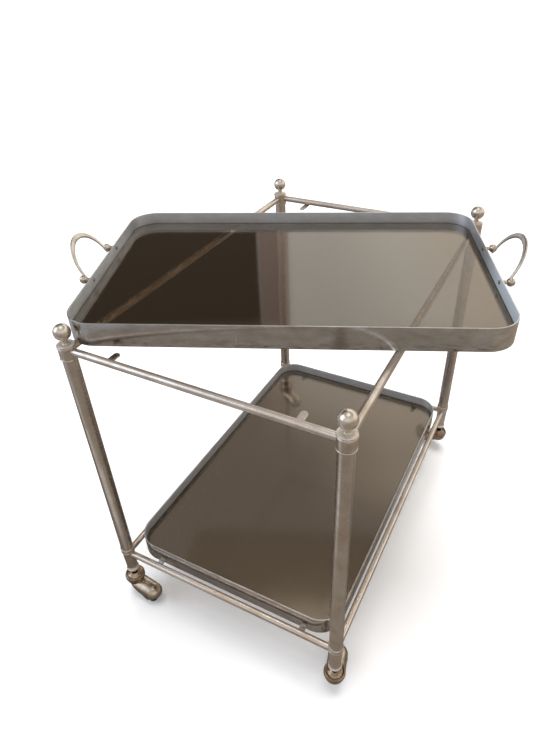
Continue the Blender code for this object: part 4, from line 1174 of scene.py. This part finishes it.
knob_nickel = worn_nickel(
    "worn nickel on turned brass knobs",
    "#D6CCC0",
    "#AC9D8A",
    0.15,
    0.24,
    0.007,
    (500.0, 500.0, 500.0),
    0.00002,
)
base = -KNOB_STANDOFF + FIT_GAP
bore_end = -KNOB_STANDOFF + SCREW_GRIP + FIT_GAP
bore = SCREW_RADIUS + FIT_GAP
outline = [(0, bore_end), (bore, bore_end), (bore, base)]
outline += [(KNOB_FOOT_RADIUS - inset, base + above) for inset, above in KNOB_FOOT_EDGE]
for step in range(KNOB_FLARE_STEPS + 1):
    share = step / KNOB_FLARE_STEPS
    flare = KNOB_FLARE * (1 - share) ** 2
    outline.append((KNOB_STEM_RADIUS + flare, base + KNOB_FOOT_THICKNESS + KNOB_FLARE_HEIGHT * share))
outline += ball_points(KNOB_RADIUS, KNOB_STEM_RADIUS, 0.0, KNOB_BALL_STEPS)
outwards = Matrix.Rotation(math.pi / 2, 4, "Y")
knob = placed(meshed("knob", turned(outline, KNOB_SIDES)), outwards)
knob_places = []
for end, (turn, way) in handle_ends.items():
    for side in (1, -1):
        across_tray = way * side * KNOB_HALF_SPACING
        name = end + ("_rear" if across_tray > 0 else "_front")
        spot = Matrix.Translation((way * foot, across_tray, KNOB_HEIGHT)) @ Matrix.Rotation(turn, 4, "Z")
        laid = placed(knob, tray_place["serving_tray"], spot)
        show("ball_knob_" + name, laid, knob_nickel, "serving_tray", "handle_nickel", "handle_knob_" + name)
        knob_places.append((way, across_tray))


# Screws: four domed and slotted steel screws, one through the rim into each knob from inside. They
# are one turned shape repeated at four points, each turned to face along its own hole.

SCREW_HEAD_RADIUS = 0.0039
SCREW_HEAD_HEIGHT = 0.0022
SCREW_SLOT = 0.0008
SCREW_SLOT_DEPTH = 0.0011
SCREW_DOME = 0.0014
SCREW_DOME_STEPS = 7
SCREW_SIDES = 28
KERF_REACH = 0.01


def new_screw_tree():
    """Geometry Nodes that set one screw at each point of the carrier, turned by its own angle."""
    tree = bpy.data.node_groups.new("handle screws", "GeometryNodeTree")
    tree.interface.new_socket("Points", in_out="INPUT", socket_type="NodeSocketGeometry")
    tree.interface.new_socket("Screw", in_out="INPUT", socket_type="NodeSocketObject")
    tree.interface.new_socket("Scale", in_out="INPUT", socket_type="NodeSocketFloat")
    tree.interface.new_socket("Finish", in_out="INPUT", socket_type="NodeSocketMaterial")
    tree.interface.new_socket("Geometry", in_out="OUTPUT", socket_type="NodeSocketGeometry")
    given = tree.nodes.new("NodeGroupInput").outputs
    shape = add(tree, "GeometryNodeObjectInfo", Object=given["Screw"]).outputs["Geometry"]
    facing = add(tree, "GeometryNodeInputNamedAttribute", {"data_type": "FLOAT"}, Name="facing")
    turn = add(tree, "ShaderNodeCombineXYZ", Z=facing)
    turned_to = add(tree, "FunctionNodeEulerToRotation", Euler=turn)
    evenly = add(tree, "ShaderNodeCombineXYZ", X=given["Scale"], Y=given["Scale"], Z=given["Scale"])
    set_out = add(
        tree,
        "GeometryNodeInstanceOnPoints",
        Points=given["Points"],
        Instance=shape,
        Rotation=turned_to,
        Scale=evenly,
    )
    real = add(tree, "GeometryNodeRealizeInstances", Geometry=set_out)
    painted = add(tree, "GeometryNodeSetMaterial", Geometry=real, Material=given["Finish"])
    add(tree, "NodeGroupOutput", _0=painted)
    return tree


screw_seat = -TRAY_STRIP - FIT_GAP
outline = [(0, screw_seat - SCREW_HEAD_HEIGHT)]
for step in range(1, SCREW_DOME_STEPS + 1):
    share = step / SCREW_DOME_STEPS
    outline.append((SCREW_HEAD_RADIUS * share, screw_seat - SCREW_HEAD_HEIGHT + SCREW_DOME * share**2.2))
outline += [
    (SCREW_HEAD_RADIUS, screw_seat), (SCREW_RADIUS, screw_seat), (SCREW_RADIUS, SCREW_GRIP), (0, SCREW_GRIP)
]
half_slot = SCREW_SLOT / 2
slot_top = screw_seat - SCREW_HEAD_HEIGHT + SCREW_SLOT_DEPTH
plan = [
    (-half_slot, -KERF_REACH), (half_slot, -KERF_REACH), (half_slot, KERF_REACH), (-half_slot, KERF_REACH)
]
kerf = meshed(
    "kerf", skinned([[(x, y, level) for x, y in plan] for level in (screw_seat - KERF_REACH, slot_top)])
)
screw_shape = hollowed(meshed("screw", turned(outline, SCREW_SIDES)), [kerf])
screw_shape.transform(outwards)
pattern = in_scene("screw_pattern", screw_shape)
points = bpy.data.meshes.new("screw_points")
points.from_pydata(
    [(way * TRAY_LENGTH / 2, across_tray, KNOB_HEIGHT) for way, across_tray in knob_places], [], []
)
facing = points.attributes.new("facing", "FLOAT", "POINT")
facing.data.foreach_set("value", [0.0 if way > 0 else math.pi for way, _ in knob_places])
screws = grown(
    "handle_screws", new_screw_tree(), {"Screw": pattern, "Scale": 1.0, "Finish": axle_steel}, start=points
)
bpy.data.objects.remove(pattern, do_unlink=True)
laid = placed(smoothed(screws), tray_place["serving_tray"])
screw_nodes = [
    "handle_screw_" + end + "_" + side for end in ("left", "right") for side in ("front", "rear")
]
show("handle_screw_set", laid, axle_steel, "serving_tray", "handle_nickel", *screw_nodes)


# Studio: a plain white floor that runs out of the picture, under one soft overhead light. The camera
# sees it white all round, while the glass and the plate mirror a painted room: a brown floor, a lit
# wall, a doorway and a window.

FLOOR_HALF = 40.0
FLOOR_GLOW = 0.12
SOFTBOX_STRENGTH = 2.6
SOFTBOX_SPREAD = math.radians(38.0)
SOFTBOX_SIDE = (-0.09, 0.20, 1.0)
SOFTBOX_TINT = (1.0, 0.99, 0.97)
ROOM_GLOW = 1.1
WHITE = (1.0, 1.0, 1.0, 1.0)
FLOOR_PAINT = (0.79, 0.80, 0.825, 1.0)
# The camera's lens and sensor are in millimetres, and its place is from the middle of the four posts
FOCAL_LENGTH = 27.863
SENSOR_WIDTH = 36.0
VIEW_DEPTH = 100.0
CAMERA_PLACE = (0.42332, -0.87728, 1.16122)
VIEW_TURN = math.radians(27.386)
VIEW_TILT = math.radians(53.415)
VIEW_ROLL = math.radians(1.735)

floor_mesh = bpy.data.meshes.new("floor")
corners = [
    (-FLOOR_HALF, -FLOOR_HALF),
    (FLOOR_HALF, -FLOOR_HALF),
    (FLOOR_HALF, FLOOR_HALF),
    (-FLOOR_HALF, FLOOR_HALF),
]
floor_mesh.from_pydata([(x, y, 0.0) for x, y in corners], [], [(0, 1, 2, 3)])
floor = in_scene("studio_floor", floor_mesh)
floor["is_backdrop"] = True
floor_white, tree, shader = new_finish("studio floor")
feed(tree, shader, Base_Color=FLOOR_PAINT, Roughness=1.0, Specular_IOR_Level=0.0)
feed(tree, shader, Emission_Color=WHITE, Emission_Strength=FLOOR_GLOW)
place = add(tree, "ShaderNodeTexCoord").outputs["Object"]
turned_place = add(
    tree, "ShaderNodeMapping", {"vector_type": "TEXTURE"}, Vector=place, Rotation=(0.0, 0.0, VIEW_TURN)
)
spot = add(tree, "ShaderNodeSeparateXYZ", Vector=turned_place)
aside = spot.outputs["X"]
away = spot.outputs["Y"]


def blended(tree, value, low, high, first, second):
    """Blend one colour into the next, smoothly, as a value goes from low to high."""
    share = add(
        tree,
        "ShaderNodeMapRange",
        {"interpolation_type": "SMOOTHSTEP"},
        Value=value,
        From_Min=low,
        From_Max=high,
    )
    return add(tree, "ShaderNodeMix", IN_COLOUR, _0=share, _6=first, _7=second)


# The room's own floor glows with painted light, measured across the picture and away from the
# camera: warm boards in front, daylight on the left, the cart's shade below it, a lit side to the
# right, and behind it darker, near black to the left
front = (0.34, 0.295, 0.245, 1)
under_cart = (0.200, 0.172, 0.147, 1)
daylight = blended(tree, aside, -0.18, -0.45, front, (0.74, 0.72, 0.69, 1))
ahead = blended(tree, away, -0.74, -0.60, front, daylight)
lit_side = blended(tree, aside, -0.02, 0.30, under_cart, (0.46, 0.42, 0.38, 1))
shadow = blended(tree, away, -0.14, 0.10, under_cart, lit_side)
shaded = blended(tree, away, -0.50, -0.30, ahead, shadow)
beneath = blended(tree, away, 0.10, 0.70, shaded, (0.34, 0.31, 0.28, 1))
behind = blended(tree, aside, -0.05, 0.01, (0.068, 0.052, 0.040, 1), (0.27, 0.285, 0.30, 1))
lighter = blended(tree, aside, 0.10, 0.60, behind, (0.46, 0.49, 0.52, 1))
beyond = blended(tree, away, 0.70, 0.95, beneath, lighter)
leftward = blended(tree, aside, -1.00, -1.30, beyond, (0.46, 0.46, 0.47, 1))
rightward = blended(tree, aside, 0.40, 0.95, leftward, (0.44, 0.37, 0.29, 1))
room_floor = add(tree, "ShaderNodeEmission", Color=rightward, Strength=1.0)
seen_straight = add(tree, "ShaderNodeLightPath").outputs["Is Camera Ray"]
chosen = add(tree, "ShaderNodeMixShader", _0=seen_straight, _1=room_floor, _2=shader)
feed(tree, tree.nodes["Material Output"], Surface=chosen)
floor_white.cycles.emission_sampling = "NONE"
floor_mesh.materials.append(floor_white)

world = bpy.data.worlds.new("studio room")
bpy.context.scene.world = world
world.use_nodes = True
tree = world.node_tree
tree.nodes.clear()
towards = add(tree, "ShaderNodeTexCoord").outputs["Generated"]
aim = add(tree, "ShaderNodeSeparateXYZ", Vector=towards)
up = aim.outputs["Z"]
turn = add(tree, "ShaderNodeMath", {"operation": "ARCTAN2"}, _0=aim.outputs["Y"], _1=aim.outputs["X"])


def rising(*steps):
    """A colour that changes with height: each step is the sine of its height, and its colour."""
    shade = steps[0][1]
    for (low, _), (high, after) in zip(steps, steps[1:]):
        shade = blended(tree, up, low, high, shade, after)
    return shade


def between(first, last, edge, inside, outside):
    """One colour between two headings, and another beyond them, with an edge of a given width."""
    opened = add(
        tree,
        "ShaderNodeMapRange",
        Value=turn,
        From_Min=math.radians(first),
        From_Max=math.radians(first + edge),
    )
    shut = add(
        tree,
        "ShaderNodeMapRange",
        Value=turn,
        From_Min=math.radians(last),
        From_Max=math.radians(last - edge),
    )
    both = add(tree, "ShaderNodeMath", {"operation": "MULTIPLY"}, _0=opened, _1=shut)
    return add(tree, "ShaderNodeMix", IN_COLOUR, _0=both, _6=outside, _7=inside)


# Headings go round from +X. The camera looks towards 117 degrees, at a dark doorway and a lit wall.
high_wall = (0.46, 0.44, 0.41, 1)
top_wall = (0.60, 0.57, 0.53, 1)
sunlit = (1.42, 1.33, 1.19, 1)
daylit = (2.1, 2.3, 2.6, 1)
dim_wall = rising(
    (0.20, (0.66, 0.69, 0.72, 1)),
    (0.29, (0.09, 0.075, 0.06, 1)),
    (0.62, (0.06, 0.05, 0.045, 1)),
    (0.70, high_wall),
    (1.0, top_wall),
)
lit_wall = rising(
    (0.28, (1.12, 1.05, 0.94, 1)), (0.58, sunlit), (0.63, sunlit), (0.70, high_wall), (1.0, top_wall)
)
door_frame = rising((0.62, (0.62, 0.48, 0.42, 1)), (0.72, high_wall), (1.0, top_wall))
back_wall = rising((0.0, (0.50, 0.47, 0.44, 1)), (0.5, (0.95, 0.93, 0.90, 1)), (1.0, (0.60, 0.58, 0.56, 1)))
window = rising((0.05, (0.42, 0.40, 0.38, 1)), (0.16, daylit), (0.72, daylit), (0.80, (0.5, 0.5, 0.5, 1)))
side_wall = between(-170.0, -128.0, 1.5, window, back_wall)
room = between(0.0, 60.0, 25.0, lit_wall, side_wall)
room = between(35.0, 117.6, 0.5, lit_wall, room)
room = between(117.2, 120.7, 0.4, door_frame, room)
with_door = between(120.4, 178.0, 0.4, dim_wall, room)
ceiling = blended(tree, up, 0.925, 0.965, with_door, (1.5, 1.42, 1.34, 1))
glow = add(tree, "ShaderNodeBackground", Color=ceiling, Strength=1.0)
plain = add(tree, "ShaderNodeBackground", Color=WHITE, Strength=ROOM_GLOW)
seen_straight = add(tree, "ShaderNodeLightPath").outputs["Is Camera Ray"]
chosen = add(tree, "ShaderNodeMixShader", _0=seen_straight, _1=glow, _2=plain)
add(tree, "ShaderNodeOutputWorld", Surface=chosen)

softbox = bpy.data.lights.new("soft overhead light", "SUN")
softbox.energy = SOFTBOX_STRENGTH
softbox.angle = SOFTBOX_SPREAD
softbox.color = SOFTBOX_TINT
light = in_scene("soft_overhead_light", softbox)
light.rotation_euler = Vector(SOFTBOX_SIDE).to_track_quat("Z", "Y").to_euler()
light.visible_glossy = False

camera_data = bpy.data.cameras.new("camera")
camera_data.sensor_fit = "AUTO"
camera_data.sensor_width = SENSOR_WIDTH
camera_data.lens = FOCAL_LENGTH
camera_data.clip_end = VIEW_DEPTH
camera = in_scene("camera", camera_data)
middle = sum((axis_of[corner].translation for corner in CORNERS), Vector()) / 4
camera.location = middle + Vector(CAMERA_PLACE)
camera.rotation_euler = (VIEW_TILT, VIEW_ROLL, VIEW_TURN)
bpy.context.scene.camera = camera
bpy.context.scene.view_settings.view_transform = "Standard"

low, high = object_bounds()
